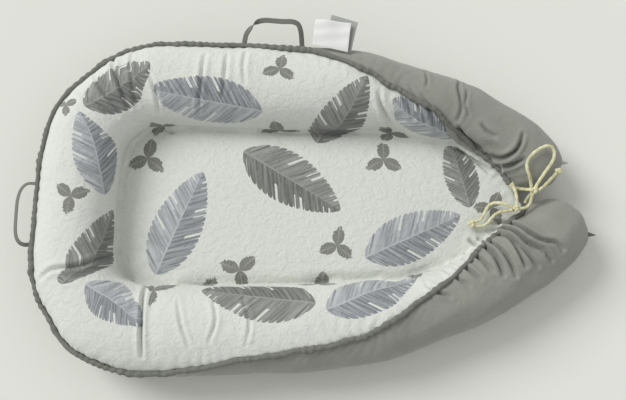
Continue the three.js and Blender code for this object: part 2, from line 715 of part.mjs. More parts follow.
// A folded corner of the seam that stands out from the rounded end of the roll, between two of its rings
function cornerTab(name, stations, color) {
  const ridge = stations.map((station) => skinPoint(station, baseAngles(station)[CORNER_ROW], 0));
  const outline = new THREE.Shape([
    new THREE.Vector2(0, -CORNER_WIDTH / 2),
    new THREE.Vector2(CORNER_LENGTH, 0),
    new THREE.Vector2(0, CORNER_WIDTH / 2),
  ]);
  const shape = new THREE.ExtrudeGeometry(outline, { depth: CORNER_THICKNESS, bevelEnabled: false });
  const tab = meshFor(name, shape.translate(0, 0, -CORNER_THICKNESS / 2), color);
  const side = ridge[1].clone().sub(ridge[0]).normalize();
  const away = side.clone().cross(up).normalize();
  tab.quaternion.setFromRotationMatrix(new THREE.Matrix4().makeBasis(away, side, away.clone().cross(side)));
  tab.position.copy(halfway(...ridge)).addScaledVector(away, CLEARANCE);
  return tab;
}

// Joining and cutting solids
function solidOf(geometry) {
  const bare = geometry.index ? geometry.clone() : geometry;
  bare.deleteAttribute('normal');
  bare.deleteAttribute('uv');
  const merged = mergeVertices(bare);
  return new wasm.Manifold(new wasm.Mesh({
    numProp: 3,
    vertProperties: new Float32Array(merged.getAttribute('position').array),
    triVerts: new Uint32Array(merged.getIndex().array),
  }));
}

function geometryOf(solid) {
  const { vertProperties, triVerts } = solid.getMesh();
  const geometry = new THREE.BufferGeometry();
  geometry.setAttribute('position', new THREE.Float32BufferAttribute(vertProperties, 3));
  geometry.setIndex(Array.from(triVerts));
  return geometry;
}

const boxAt = (x, y, z, ...size) => new THREE.BoxGeometry(...size).translate(x, y, z);

// The zip in the underside. It is closed, with its slider at the head end.
const toothRow = ZIP_ROW_GAP / 2 + ZIP_TOOTH_WIDTH / 2;
const tapeRow = ZIP_ROW_GAP / 2 + ZIP_TOOTH_WIDTH + ZIP_PLAY + ZIP_TAPE_WIDTH / 2;
const slotWidth = 2 * (tapeRow + ZIP_TAPE_WIDTH / 2 + CLEARANCE);
const slotLength = ZIP_LENGTH + 2 * CLEARANCE;
const chainWidth = 2 * ZIP_TOOTH_WIDTH + ZIP_ROW_GAP;
const toothLength = ZIP_LENGTH - 2 * (STOP_LENGTH + ZIP_PLAY);
const plateHeight = ZIP_TOOTH_THICKNESS / 2 + ZIP_PLAY + SLIDER_PLATE / 2;
const eyeRadius = PIN_DIAMETER / 2 + ZIP_PLAY + EYE_WALL;
const pivotDrop = plateHeight + SLIDER_PLATE / 2 + ZIP_PLAY + eyeRadius;

function zipSlider() {
  const earRow = PULL_WIDTH / 2 + ZIP_PLAY + EAR_THICKNESS / 2;
  const earHeight = pivotDrop + PIN_DIAMETER - plateHeight;
  const plate = (z) => boxAt(0, 0, z, SLIDER_LENGTH, SLIDER_WIDTH, SLIDER_PLATE);
  const ear = (y) => boxAt(0, y, -plateHeight - earHeight / 2, 2 * PIN_DIAMETER, EAR_THICKNESS, earHeight);
  const post = boxAt(0, 0, 0, ZIP_ROW_GAP, ZIP_ROW_GAP - 2 * ZIP_PLAY, 2 * plateHeight);
  const pinRadius = PIN_DIAMETER / 2;
  const pin = new THREE.CylinderGeometry(pinRadius, pinRadius, 2 * earRow, PIN_SIDES);
  pin.translate(0, 0, -pivotDrop);
  return [plate(-plateHeight), ear(-earRow), ear(earRow), post, pin]
    .map(solidOf)
    .reduce((slider, piece) => slider.add(piece), solidOf(plate(plateHeight)));
}

function zipPull() {
  const barAngle = Math.asin(PULL_THICKNESS / 2 / eyeRadius);
  const outline = new THREE.Shape();
  outline.absarc(0, 0, eyeRadius, barAngle, 2 * Math.PI - barAngle);
  outline.lineTo(PULL_LENGTH - eyeRadius, -PULL_THICKNESS / 2);
  outline.lineTo(PULL_LENGTH - eyeRadius, PULL_THICKNESS / 2);
  const bore = new THREE.Path();
  bore.absarc(0, 0, PIN_DIAMETER / 2 + ZIP_PLAY, 0, 2 * Math.PI);
  outline.holes.push(bore);
  const settings = { depth: PULL_WIDTH, bevelEnabled: false, curveSegments: EYE_SIDES };
  const pull = new THREE.ExtrudeGeometry(outline, settings);
  return pull.translate(0, 0, -PULL_WIDTH / 2).rotateX(Math.PI / 2);
}

function zip() {
  const group = new THREE.Group();
  for (const [side, name] of [[-1, 'near'], [1, 'far']]) {
    const tape = boxAt(0, side * tapeRow, 0, ZIP_LENGTH, ZIP_TAPE_WIDTH, ZIP_TAPE_THICKNESS);
    const teeth = boxAt(0, side * toothRow, 0, toothLength, ZIP_TOOTH_WIDTH, ZIP_TOOTH_THICKNESS);
    group.add(meshFor(`zip_tape_${name}`, tape, colours.zip));
    group.add(meshFor(`zip_teeth_${name}`, teeth, colours.metal));
  }
  for (const [side, name] of [[-1, 'head'], [1, 'foot']]) {
    const x = side * (ZIP_LENGTH / 2 - STOP_LENGTH / 2);
    const stop = boxAt(x, 0, 0, STOP_LENGTH, chainWidth, ZIP_TOOTH_THICKNESS);
    group.add(meshFor(`zip_stop_${name}`, stop, colours.metal));
  }
  const slider = meshFor('zip_slider', geometryOf(zipSlider()), colours.metal);
  slider.position.x = -toothLength / 2 + SLIDER_LENGTH / 2 + ZIP_PLAY;
  const pull = meshFor('zip_pull', zipPull(), colours.metal);
  pull.position.set(slider.position.x, 0, -pivotDrop);
  group.add(slider, pull);
  group.position.set(centre.x, centre.y, undersideLevel);
  return group;
}

// The lower sheet has a slot for the zip
const slot = boxAt(centre.x, centre.y, undersideLevel, slotLength, slotWidth, UNDERSIDE_HEIGHT);
const baseCover = geometryOf(solidOf(coverOf(baseRows, false)).subtract(solidOf(slot)));

const nest = new THREE.Group();
nest.add(
  meshFor('bumper_filling', tubeOf(fillingRings), colours.filling),
  meshFor('mattress_insert', padBody(), colours.pad),
  meshFor('top_cover', coverOf(topRows, true), colours.print),
  meshFor('base_cover', baseCover, colours.grey),
  meshFor('edge_casing', casing, colours.grey),
  meshFor('drawstring', drawstring, colours.cord),
  handleOf('side_handle', SIDE_HANDLE_SHARES, SIDE_HANDLE_REACH, SIDE_HANDLE_SEAT),
  handleOf('head_handle', HEAD_HANDLE_SHARES, HEAD_HANDLE_REACH, HEAD_HANDLE_SEAT),
  careLabel(),
  cornerTab('corner_tab_far', farCap.slice(1), colours.grey),
  cornerTab('corner_tab_near', nearCap.slice(0, 2), colours.corner),
  zip(),
);
const box = new THREE.Box3().setFromObject(nest, true);
const middle = box.getCenter(v3(0, 0, 0));
nest.add(bow());
nest.position.set(-middle.x, -middle.y, -box.min.z);

export default nest;
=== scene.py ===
# An infant lounger: a stuffed roll bent round a padded lying surface. A cord in a casing draws the roll up
# and is tied at the foot. Metres. +X runs from the head to the foot, +Y to the far long side, +Z up.
import math

import bmesh
import bpy
import numpy as np
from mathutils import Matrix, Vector, noise
from mathutils.bvhtree import BVHTree
from mathutils.kdtree import KDTree


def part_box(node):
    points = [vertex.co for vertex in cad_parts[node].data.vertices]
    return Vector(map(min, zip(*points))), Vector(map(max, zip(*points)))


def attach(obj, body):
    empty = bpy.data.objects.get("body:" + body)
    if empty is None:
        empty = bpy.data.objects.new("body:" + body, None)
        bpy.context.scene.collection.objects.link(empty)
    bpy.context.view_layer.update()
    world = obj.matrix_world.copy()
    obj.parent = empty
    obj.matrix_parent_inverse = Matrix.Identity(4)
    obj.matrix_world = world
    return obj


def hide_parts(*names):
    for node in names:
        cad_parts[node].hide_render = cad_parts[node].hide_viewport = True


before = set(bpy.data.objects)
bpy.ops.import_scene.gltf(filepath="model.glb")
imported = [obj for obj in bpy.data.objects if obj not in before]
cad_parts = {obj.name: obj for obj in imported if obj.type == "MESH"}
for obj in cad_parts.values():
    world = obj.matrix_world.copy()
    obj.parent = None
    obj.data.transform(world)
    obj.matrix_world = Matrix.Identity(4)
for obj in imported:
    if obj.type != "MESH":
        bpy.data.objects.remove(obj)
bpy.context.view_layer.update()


# The place where it lies: a pale floor under soft light, seen from above the near side.
# The floor is matt paper, and the far side gets a little more light than the near side.
AIM = Vector((0.013, -0.022, 0.040))
DISTANCE = 1.5
ELEVATION = math.radians(80)
PICTURE_WIDTH = 626
PICTURE_SCALE = 912  # pixels for a size equal to the distance
PICTURE_DROP = 10  # pixels by which the picture hangs lower than its middle
FLOOR_COLOUR = "#e2e3dc"
FLOOR_SIZE = 12.0
FLOOR_GAP = 0.0006

camera = bpy.data.objects.new("camera", bpy.data.cameras.new("camera"))
bpy.context.scene.collection.objects.link(camera)
bpy.context.scene.camera = camera
towards_camera = Vector((0, -math.cos(ELEVATION), math.sin(ELEVATION)))
camera.location = AIM + DISTANCE * towards_camera
camera.rotation_euler = (math.pi / 2 - ELEVATION, 0, 0)
camera.data.lens = camera.data.sensor_width * PICTURE_SCALE / PICTURE_WIDTH
camera.data.shift_y = PICTURE_DROP / PICTURE_WIDTH


def colour(code):
    """An sRGB hex value as linear red, green, blue and alpha."""
    shares = [int(code[i : i + 2], 16) / 255 for i in (1, 3, 5)]
    return [s / 12.92 if s < 0.04045 else ((s + 0.055) / 1.055) ** 2.4 for s in shares] + [1.0]


def add(tree, kind, inputs=(), **settings):
    """Adds a node with its settings; an input that is given a socket is linked to it."""
    made = tree.nodes.new("ShaderNode" + kind)
    for name, value in settings.items():
        setattr(made, name, value)
    for name, value in dict(inputs).items():
        if isinstance(value, bpy.types.NodeSocket):
            tree.links.new(value, made.inputs[name])
        else:
            made.inputs[name].default_value = value
    return made


def new_material(name, roughness):
    """A material, its tree, its shader and the surface's own coordinates."""
    material = bpy.data.materials.new(name)
    material.use_nodes = True
    tree = material.node_tree
    shader = tree.nodes["Principled BSDF"]
    shader.inputs["Roughness"].default_value = roughness
    return material, tree, shader, add(tree, "TexCoord")


floor_mesh = bmesh.new()
bmesh.ops.create_grid(floor_mesh, x_segments=1, y_segments=1, size=FLOOR_SIZE / 2)
bmesh.ops.translate(floor_mesh, verts=floor_mesh.verts, vec=(0, 0, -FLOOR_GAP))
floor = bpy.data.objects.new("floor", bpy.data.meshes.new("floor"))
floor_mesh.to_mesh(floor.data)
bpy.context.scene.collection.objects.link(floor)
paper, _, paper_shader, _ = new_material("matt_paper", 0.95)
paper_shader.inputs["Base Color"].default_value = colour(FLOOR_COLOUR)
paper_shader.inputs["Specular IOR Level"].default_value = 0.1
floor.data.materials.append(paper)

WORLD_STRENGTH = 0.60
SUN_STRENGTH = 1.9
SUN_ANGLE = math.radians(30)
SUN_PLACE = Vector((-1.3, 0.9, 1.3))
world = bpy.data.worlds.new("studio")
world.use_nodes = True
sky = world.node_tree
sky.nodes["Background"].inputs["Color"].default_value = (1, 1, 1, 1)
sky.nodes["Background"].inputs["Strength"].default_value = WORLD_STRENGTH
backdrop = add(sky, "Background", {"Color": colour(FLOOR_COLOUR), "Strength": 1.0})
seen = add(sky, "MixShader", {0: add(sky, "LightPath").outputs["Is Camera Ray"],
                              1: sky.nodes["Background"].outputs[0], 2: backdrop.outputs[0]})
sky.links.new(seen.outputs[0], sky.nodes["World Output"].inputs["Surface"])
bpy.context.scene.world = world
sun = bpy.data.objects.new("sun", bpy.data.lights.new("sun", "SUN"))
sun.data.energy = SUN_STRENGTH
sun.data.angle = SUN_ANGLE
sun.rotation_euler = SUN_PLACE.to_track_quat("Z", "Y").to_euler()
bpy.context.scene.collection.objects.link(sun)
bpy.context.scene.view_settings.view_transform = "Standard"


# The drawstring: a soft cotton cord, twisted of three strands and cream in colour. It runs round the
# whole roll in its casing, and at the foot it is tied in a knot with one loop and two knotted tails.
CORD_DIAMETER = 0.0055
CORD_STEP = 0.0011
CORD_SIDES = 18
TUCKED = 0.0025  # by which each end of a stretch reaches on into its knot
STRANDS = 3
STRAND_DEPTH = 0.2  # share of the radius by which the valleys between strands lie lower
TWIST_LENGTH = 0.011  # along the cord for one whole turn of a strand
CORD_COLOUR = "#dcd9b2"
# The darker colour is painted shade, for the valleys between the strands
CORD_PAINTED_SHADE = "#a9a57a"
KNOT_STEPS = 96
KNOT_TWISTS = 5  # whole turns of the strands along a knot's closed route
KNOT_MIDDLE = sum(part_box("bow_knot"), Vector()) / 2
CURVE_SAMPLES = 16  # between two points of a route
MM = 0.001
# Routes in millimetres from the middle of the bow's knot
BOW_LOOP = [
    (-3.7, 7.4, 0.3), (-5.6, 14.4, 4.9), (-8.8, 23, 10.5), (-12, 31, 13.5), (-12.8, 39, 15), (-9.5, 48, 17),
    (-2, 56.5, 19.5), (8, 63.5, 21.5), (18, 67.5, 21.5), (26.5, 66.5, 19.5), (31, 60, 17), (30.8, 51.5, 17),
    (27, 43, 18), (21.5, 34.5, 17.5), (15.5, 26, 15), (10.9, 18.9, 10.7), (7, 12.5, 6.2), (4.1, 7.1, 2.4),
]
FAR_TAIL = [(9.5, 1.5, -0.6), (14.5, 4.6, 2.6), (20.5, 10.4, 8), (26.5, 17, 12.2), (33, 23.6, 13.6)]
LINK = [(-2.2, -7.2, -1.9), (-3.5, -14.5, -4.5), (-6, -21.5, -6.6), (-11.5, -26.5, -8.8), (-20.2, -28, -10.6)]
SHORT_TAIL = [(-25.8, -20.9, -10.6), (-25.2, -12, -10.5), (-26.5, -2, -11), (-29, 7, -12), (-31.5, 15, -12.6)]
UPPER_STRAND = [
    (-34.2, -24.6, -11.5), (-41, -20.5, -15.5), (-49, -17, -21.5), (-57.5, -15.5, -27.5),
    (-65.5, -18.5, -31.2), (-71, -26, -32.4), (-75, -34.5, -32.8), (-80.5, -42, -33), (-88.5, -45.6, -33),
]
LOWER_STRAND = [
    (-34.4, -30, -12), (-41, -30.5, -16.5), (-49, -31, -23.5), (-56.5, -34, -29.6), (-63, -40.5, -32.4),
    (-69, -47.5, -33.4), (-77.5, -52.6, -33.6), (-88.5, -53, -33.4),
]


def smooth_route(points, step):
    """Evenly spaced places on a smooth curve through the points."""
    ends = [2 * points[0] - points[1], *points, 2 * points[-1] - points[-2]]
    fine = []
    for a, b, c, d in zip(ends, ends[1:], ends[2:], ends[3:]):
        for i in range(CURVE_SAMPLES):
            t = i / CURVE_SAMPLES
            fine.append(0.5 * ((2 * b) + (c - a) * t + (2 * a - 5 * b + 4 * c - d) * t * t
                               + (3 * b - a - 3 * c + d) * t ** 3))
    fine.append(points[-1])
    lengths = np.cumsum([0.0] + [(q - p).length for p, q in zip(fine, fine[1:])])
    count = max(2, round(lengths[-1] / step))
    wanted = np.linspace(0, lengths[-1], count + 1)
    axes = [np.interp(wanted, lengths, [p[i] for p in fine]) for i in range(3)]
    return [Vector(p) for p in zip(*axes)], lengths[-1]


def frames_along(route, start_up=Vector((0, 0, 1))):
    """Tangent and side at each place of a route, turning as little as they can."""
    result = []
    side = None
    for i, place in enumerate(route):
        along = (route[min(i + 1, len(route) - 1)] - route[max(i - 1, 0)]).normalized()
        side = along.cross(start_up) if side is None else side - along * side.dot(along)
        side.normalize()
        result.append((place, along, side.copy(), side.cross(along)))
    return result


def swept(frames, sides, section):
    """A closed tube through the frames; section gives its two offsets for a place and a turn."""
    mesh = bmesh.new()
    bmesh.ops.create_grid(mesh, x_segments=len(frames) - 1, y_segments=sides, size=0.5)
    for vert in mesh.verts:
        i = round((vert.co.x + 0.5) * (len(frames) - 1))
        turn = 2 * math.pi * round((vert.co.y + 0.5) * sides) / sides
        place, _, side, normal = frames[i]
        across, above = section(i, turn)
        vert.co = place + side * across + normal * above
    bmesh.ops.remove_doubles(mesh, verts=mesh.verts, dist=1e-6)
    bmesh.ops.holes_fill(mesh, edges=[e for e in mesh.edges if e.is_boundary], sides=0)
    bmesh.ops.recalc_face_normals(mesh, faces=mesh.faces)
    return mesh


def shown(name, mesh):
    """The mesh as a smooth object in the scene."""
    for face in mesh.faces:
        face.smooth = True
    piece = bpy.data.objects.new(name, bpy.data.meshes.new(name))
    mesh.to_mesh(piece.data)
    mesh.free()
    bpy.context.scene.collection.objects.link(piece)
    return piece


def stranded(lay, turn):
    """The offsets of a cord's surface at a turn round it, lower in the valleys between its strands."""
    radius = CORD_DIAMETER / 2 * (1 - STRAND_DEPTH * (0.5 - 0.5 * math.cos(lay)) ** 2)
    return radius * math.cos(turn), radius * math.sin(turn)


def cord_piece(name, node, route, section):
    """A cord of twisted cotton along a route, in the place of a CAD node."""
    piece = shown(name, swept(frames_along(route), CORD_SIDES, section))
    piece.data.materials.append(cord_cotton)
    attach(piece, "nest")
    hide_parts(node)
    return piece


# Soft cotton cord: matt, with fine fibres, and painted shade: its cream is mottled darker in patches,
# standing for the shade in the valleys where the strands meet
cord_cotton, tree, shader, coords = new_material("twisted_cotton_cord", 0.85)
fibres = add(tree, "TexNoise", {"Vector": coords.outputs["Object"], "Scale": 900.0, "Detail": 3.0})
mottle = add(tree, "TexNoise", {"Vector": coords.outputs["Object"], "Scale": 60.0})
valley_painted_shade = add(tree, "ValToRGB", {"Fac": mottle.outputs["Fac"]})
valley_painted_shade.color_ramp.elements[0].color = colour(CORD_PAINTED_SHADE)
valley_painted_shade.color_ramp.elements[0].position = 0.2
valley_painted_shade.color_ramp.elements[1].color = colour(CORD_COLOUR)
valley_painted_shade.color_ramp.elements[1].position = 0.55
bump = add(tree, "Bump", {"Height": fibres.outputs["Fac"], "Strength": 0.4, "Distance": 0.0006})
tree.links.new(valley_painted_shade.outputs["Color"], shader.inputs["Base Color"])
tree.links.new(bump.outputs["Normal"], shader.inputs["Normal"])
shader.inputs["Sheen Weight"].default_value = 0.3


def at_knot(points):
    """Places in the frame of points given from the middle of the bow's knot."""
    return [KNOT_MIDDLE + MM * Vector(p) for p in points]


def along_cord(i, turn):
    """The section of a cord whose places are CORD_STEP apart."""
    return stranded(STRANDS * (turn - 2 * math.pi * i * CORD_STEP / TWIST_LENGTH / STRANDS), turn)


def round_knot(i, turn):
    """The section of a cord along the closed route of a knot."""
    return stranded(STRANDS * turn - 2 * math.pi * KNOT_TWISTS * i / KNOT_STEPS, turn)


def tight_knot(name, node):
    """A cord pulled tight in an overhand knot that fills its node's box."""
    low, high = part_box(node)
    room = (high - low) / 2 - Vector((1, 1, 1)) * CORD_DIAMETER / 2
    route = []
    for i in range(KNOT_STEPS):
        t = 2 * math.pi * i / KNOT_STEPS
        x = (math.sin(t) + 2 * math.sin(2 * t)) / 3
        y = (math.cos(t) - 2 * math.cos(2 * t)) / 3
        z = -math.sin(3 * t)
        route.append((low + high) / 2 + Vector((x * room.x, y * room.y, z * room.z)))
    route.append(route[0].copy())
    return cord_piece(name, node, route, round_knot)


knot = tight_knot("bow_knot_cord", "bow_knot")
small_knot = tight_knot("small_knot_cord", "bow_knot_small")
far_end_knot = tight_knot("far_end_knot_cord", "end_knot_far")
near_end_knot = tight_knot("near_end_knot_cord", "end_knot_near")

for name, node, points, far_end, others in (
    ("bow_loop_cord", "bow_loop", BOW_LOOP, "object", [knot]),
    ("far_tail_cord", "cord_tail_far", FAR_TAIL, "knot", [far_end_knot]),
    ("link_cord", "cord_link", LINK, "knot", [small_knot]),
    ("short_tail_cord", "cord_tail_short", SHORT_TAIL, "bare", []),
    ("upper_strand_cord", "cord_strand_upper", UPPER_STRAND, "knot", [near_end_knot]),
    ("lower_strand_cord", "cord_strand_lower", LOWER_STRAND, "knot", []),
):
    places = at_knot(points)
    places.insert(0, places[0] + (places[0] - places[1]).normalized() * TUCKED)
    if far_end != "bare":
        places.append(places[-1] + (places[-1] - places[-2]).normalized() * TUCKED)
    route, length = smooth_route(places, CORD_STEP)
    cord = cord_piece(name, node, route, along_cord)


# The stuffed roll and the lying surface: polyester filling in cotton covers, printed above and grey below.
# They are sewn together along the inner foot of the roll, and gathered along its outer edge by the cord.
# A cloth simulation stuffs the form; the sewn seams and the folds drawn from them are pressed in after it.
RING_STEP = 0.008
RING_SIDES = 56
RING_BLUR = 2.2  # rings over which the roll's radius is evened out
END_REACH = 0.05  # from each end of the roll, where its rounded form is kept as it is
COVER_WALL = 0.0015
WALL_START = 0.01  # from each end of the roll, over which the wall of its cover comes in
SEAM_CREASE = math.radians(-35)  # the CAD cover is creased more than this along its inner seam
SEAM_TOP = 0.047
SEAM_STEP = 0.004
GRID = (200, 130)
GRID_SIZE = (0.96, 0.62)
ABOVE_ALL = 0.3
BELOW_ALL = -0.1
RIM_INSIDE = 0.012  # from the roll's middle line to the rim of the slab
SLAB_TOP = 0.0445  # what lies higher is the roll
SLAB_LEAST = 0.006
UNDERSIDE_HEIGHT = 0.010
VOXEL = 0.005
PIN_NEAR = 0.005
PIN_FAR = 0.014
FLOOR_TOUCH = 0.001
FLOOR_GRIP = 0.012
SMOOTHINGS = 5
STUFFING_FRAMES = 16
STUFFING_PRESSURE = 1.2
FULLNESS = -0.05  # growth of the roll's cloth, as the simulation's shrink factor
PAD_START = 0.066  # from the roll's middle line, where the lying surface starts
PAD_BLEND = 0.012
PAD_HEIGHT = 0.06
PAD_TIGHTNESS = 0.85  # share of the fullness that the lying surface goes without
MOVE_LIMIT = 0.016


def joined(*nodes):
    """A merged copy of the CAD nodes' meshes."""
    mesh = bmesh.new()
    for node in nodes:
        mesh.from_mesh(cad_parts[node].data)
    bmesh.ops.remove_doubles(mesh, verts=mesh.verts, dist=1e-5)
    return mesh


def ring_middles(node):
    """Middles of the rings of a CAD tube, from its far end at the foot round the head to its near end."""
    mesh = joined(node)
    hubs = sorted(mesh.verts, key=lambda v: -len(v.link_edges))[:2]
    layer = {max(hubs, key=lambda v: v.co.y)}
    seen = set(layer)
    middles = []
    while layer:
        low = Vector(map(min, zip(*(v.co for v in layer))))
        high = Vector(map(max, zip(*(v.co for v in layer))))
        middles.append((low + high) / 2)
        layer = {e.other_vert(v) for v in layer for e in v.link_edges} - seen
        seen |= layer
    mesh.free()
    return middles


def outward_frames(route):
    """Place, tangent, outward side and up at each place of a route round the lounger."""
    frames = []
    for i, place in enumerate(route):
        along = (route[min(i + 1, len(route) - 1)] - route[max(i - 1, 0)]).normalized()
        frames.append((place, along, Vector((along.y, -along.x, 0)).normalized(), Vector((0, 0, 1))))
    return frames


def along_points(a, b, step):
    """Places from a to b, about a step apart."""
    count = max(1, int((b - a).length / step))
    return [a.lerp(b, i / count) for i in range(count + 1)]


def nearest_tree(points):
    """A search tree over the points."""
    tree = KDTree(len(points))
    for i, point in enumerate(points):
        tree.insert(point, i)
    tree.balance()
    return tree


roll_route, _ = smooth_route(ring_middles("bumper_filling"), RING_STEP)
roll_frames = outward_frames(roll_route)
filling = BVHTree.FromBMesh(joined("bumper_filling"))
turns = [2 * math.pi * k / RING_SIDES for k in range(RING_SIDES)]
radii = np.array([
    [filling.ray_cast(place, outward * math.cos(t) + up * math.sin(t))[3] or 0.0 for t in turns]
    for place, _, outward, up in roll_frames
])
reach = round(4 * RING_BLUR)
weights = np.exp(-0.5 * (np.arange(-reach, reach + 1) / RING_BLUR) ** 2)
padded = np.pad(radii, ((reach, reach), (0, 0)), mode="edge")
even = sum(w * padded[i : i + len(radii)] for i, w in enumerate(weights / weights.sum()))
from_end = np.minimum(np.arange(len(radii)), np.arange(len(radii))[::-1]) * RING_STEP
share = np.clip(from_end / END_REACH - 1, 0, 1)[:, None]
radii = radii * (1 - share) + even * share


def roll_section(i, turn):
    """The section of the covered roll."""
    radius = radii[i, round(turn / 2 / math.pi * RING_SIDES) % RING_SIDES]
    radius += COVER_WALL * min(1, from_end[i] / WALL_START)
    return radius * math.cos(turn), radius * math.sin(turn)


# Sewn lines: the crease at the roll's inner foot, and the casing of the cord
top_form = joined("top_cover")
inner_seam = []
for edge in top_form.edges:
    a, b = (v.co for v in edge.verts)
    creased = len(edge.link_faces) == 2 and edge.calc_face_angle_signed() < SEAM_CREASE
    if creased and max(a.z, b.z) < SEAM_TOP:
        inner_seam += along_points(a, b, SEAM_STEP)

CASING_OFF = 0.0022  # by which the middle of the casing stands off the roll
CASING_WANDER = 0.09  # radians
WANDER_LENGTH = 0.03
WANDER_ROW = 2.5  # of the noise
# The casing's turn round the roll, from its outer side over its top, in degrees, by shares of the roll's
# length from its far end at the foot
CASING_TURNS = [
    (0.03, 176), (0.05, 174), (0.072, 168), (0.096, 145), (0.12, 116), (0.143, 102), (0.167, 86), (0.191, 66),
    (0.215, 50), (0.239, 39), (0.263, 30), (0.287, 23), (0.311, 19), (0.335, 16), (0.36, 14), (0.55, 14),
    (0.574, 15), (0.598, 17), (0.622, 20), (0.645, 25), (0.669, 34), (0.693, 42), (0.717, 49), (0.741, 55),
    (0.765, 59), (0.789, 68), (0.813, 86), (0.837, 105), (0.861, 118), (0.885, 133), (0.905, 155),
    (0.925, 170), (0.945, 174), (0.965, 176),
]
string_middles = ring_middles("drawstring")
ring_shares = np.arange(len(roll_frames)) / (len(roll_frames) - 1)
casing_turns = np.radians(np.interp(ring_shares, *zip(*CASING_TURNS)))
casing_turns += [
    CASING_WANDER * noise.noise(Vector((i * RING_STEP / WANDER_LENGTH, WANDER_ROW, 0)))
    for i in range(len(roll_frames))
]
first, last = (round(CASING_TURNS[row][0] * len(roll_frames)) for row in (0, -1))
casing_places = [string_middles[3]]
for i in range(first, last, 2):
    place, _, outward, up = roll_frames[i]
    t = casing_turns[i]
    radius = np.interp(t, turns, radii[i]) + COVER_WALL + CASING_OFF
    casing_places.append(place + (outward * math.cos(t) + up * math.sin(t)) * radius)
casing_places.append(string_middles[-4])
casing_points = smooth_route(casing_places, SEAM_STEP)[0]
seam_tree = nearest_tree([Vector((p.x, p.y, 0)) for p in inner_seam])
inner_tree = nearest_tree(inner_seam)
casing_tree = nearest_tree(casing_points)
sewn_tree = nearest_tree(inner_seam + casing_points)
route_tree = nearest_tree([Vector((p.x, p.y, 0)) for p in roll_route])

# The lying surface and the sheet under it, as a slab whose rim ends inside the roll
whole_top = BVHTree.FromBMesh(joined("top_cover", "base_cover", "mattress_insert"))
whole_base = BVHTree.FromBMesh(joined("base_cover", "mattress_insert"))
slab = bmesh.new()
bmesh.ops.create_grid(slab, x_segments=GRID[0], y_segments=GRID[1], size=0.5)
bmesh.ops.scale(slab, verts=slab.verts, vec=(*GRID_SIZE, 1))
heights = {}
outside = []
for vert in slab.verts:
    _, i, _ = route_tree.find(vert.co)
    inward = roll_route[i] - vert.co
    above = whole_top.ray_cast(Vector((vert.co.x, vert.co.y, ABOVE_ALL)), Vector((0, 0, -1)))[0]
    below = whole_base.ray_cast(Vector((vert.co.x, vert.co.y, BELOW_ALL)), Vector((0, 0, 1)))[0]
    if above is None or inward.to_2d().dot(roll_frames[i][2].to_2d()) < RIM_INSIDE:
        outside.append(vert)
        continue
    seam_height = inner_seam[seam_tree.find(vert.co)[1]].z
    top_height = above.z if above.z < SLAB_TOP else seam_height
    low_height = min(below.z if below else UNDERSIDE_HEIGHT, top_height - SLAB_LEAST)
    heights[round(vert.co.x, 5), round(vert.co.y, 5)] = top_height
    vert.co.z = low_height
bmesh.ops.delete(slab, geom=outside, context="VERTS")
raised = bmesh.ops.extrude_face_region(slab, geom=slab.faces[:])["geom"]
for vert in raised:
    if isinstance(vert, bmesh.types.BMVert):
        vert.co.z = heights[round(vert.co.x, 5), round(vert.co.y, 5)]
bmesh.ops.recalc_face_normals(slab, faces=slab.faces)

form = swept(roll_frames, RING_SIDES, roll_section)
slab_data = bpy.data.meshes.new("slab")
slab.to_mesh(slab_data)
form.from_mesh(slab_data)
covers = shown("covers", form)
remesh = covers.modifiers.new("even_cloth", "REMESH")
remesh.mode = "VOXEL"
remesh.voxel_size = VOXEL


def applied(piece):
    """Turns a piece's modifiers into its mesh."""
    graph = bpy.context.evaluated_depsgraph_get()
    data = bpy.data.meshes.new_from_object(piece.evaluated_get(graph))
    piece.modifiers.clear()
    piece.data = data
    return data


applied(covers)
mesh = bmesh.new()
mesh.from_mesh(covers.data)
whole = set()
for vert in mesh.verts:
    if vert in whole:
        continue
    island = {vert}
    fresh = {vert}
    while fresh:
        fresh = {e.other_vert(v) for v in fresh for e in v.link_edges} - island
        island |= fresh
    if len(island) > len(mesh.verts) / 2:
        whole = island
        break
bmesh.ops.delete(mesh, geom=[v for v in mesh.verts if v not in whole], context="VERTS")
loose = [v for v in mesh.verts if sewn_tree.find(v.co)[2] > PIN_FAR and v.co.z > FLOOR_TOUCH]
for _ in range(SMOOTHINGS):
    bmesh.ops.smooth_vert(mesh, verts=loose, factor=0.5, use_axis_x=True, use_axis_y=True, use_axis_z=True)
for face in mesh.faces:
    face.smooth = True
mesh.to_mesh(covers.data)
mesh.free()

held = covers.vertex_groups.new(name="held")
full = covers.vertex_groups.new(name="full")
for vert in covers.data.vertices:
    away = sewn_tree.find(vert.co)[2]
    grip = 1.0 if vert.co.z < FLOOR_GRIP else (PIN_FAR - away) / (PIN_FAR - PIN_NEAR)
    held.add([vert.index], min(1.0, max(0.0, grip)), "REPLACE")
    from_roll = route_tree.find(Vector((vert.co.x, vert.co.y, 0)))[2]
    inner = min(1.0, max(0.0, (from_roll - PAD_START) / PAD_BLEND)) if vert.co.z < PAD_HEIGHT else 0.0
    full.add([vert.index], 1 - PAD_TIGHTNESS * inner, "REPLACE")
at_rest = np.array([v.co for v in covers.data.vertices])
stuffing = covers.modifiers.new("stuffing", "CLOTH")
stuffing.settings.quality = 4
stuffing.settings.mass = 0.3
stuffing.settings.tension_stiffness = 15
stuffing.settings.compression_stiffness = 15
stuffing.settings.shear_stiffness = 5
stuffing.settings.bending_stiffness = 0.5
stuffing.settings.use_pressure = True
stuffing.settings.uniform_pressure_force = STUFFING_PRESSURE
stuffing.settings.vertex_group_mass = "held"
stuffing.settings.pin_stiffness = 1
stuffing.settings.shrink_min = 0.0
stuffing.settings.shrink_max = FULLNESS
stuffing.settings.vertex_group_shrink = "full"
stuffing.settings.effector_weights.gravity = 0
stuffing.collision_settings.use_collision = False
stuffing.collision_settings.use_self_collision = False
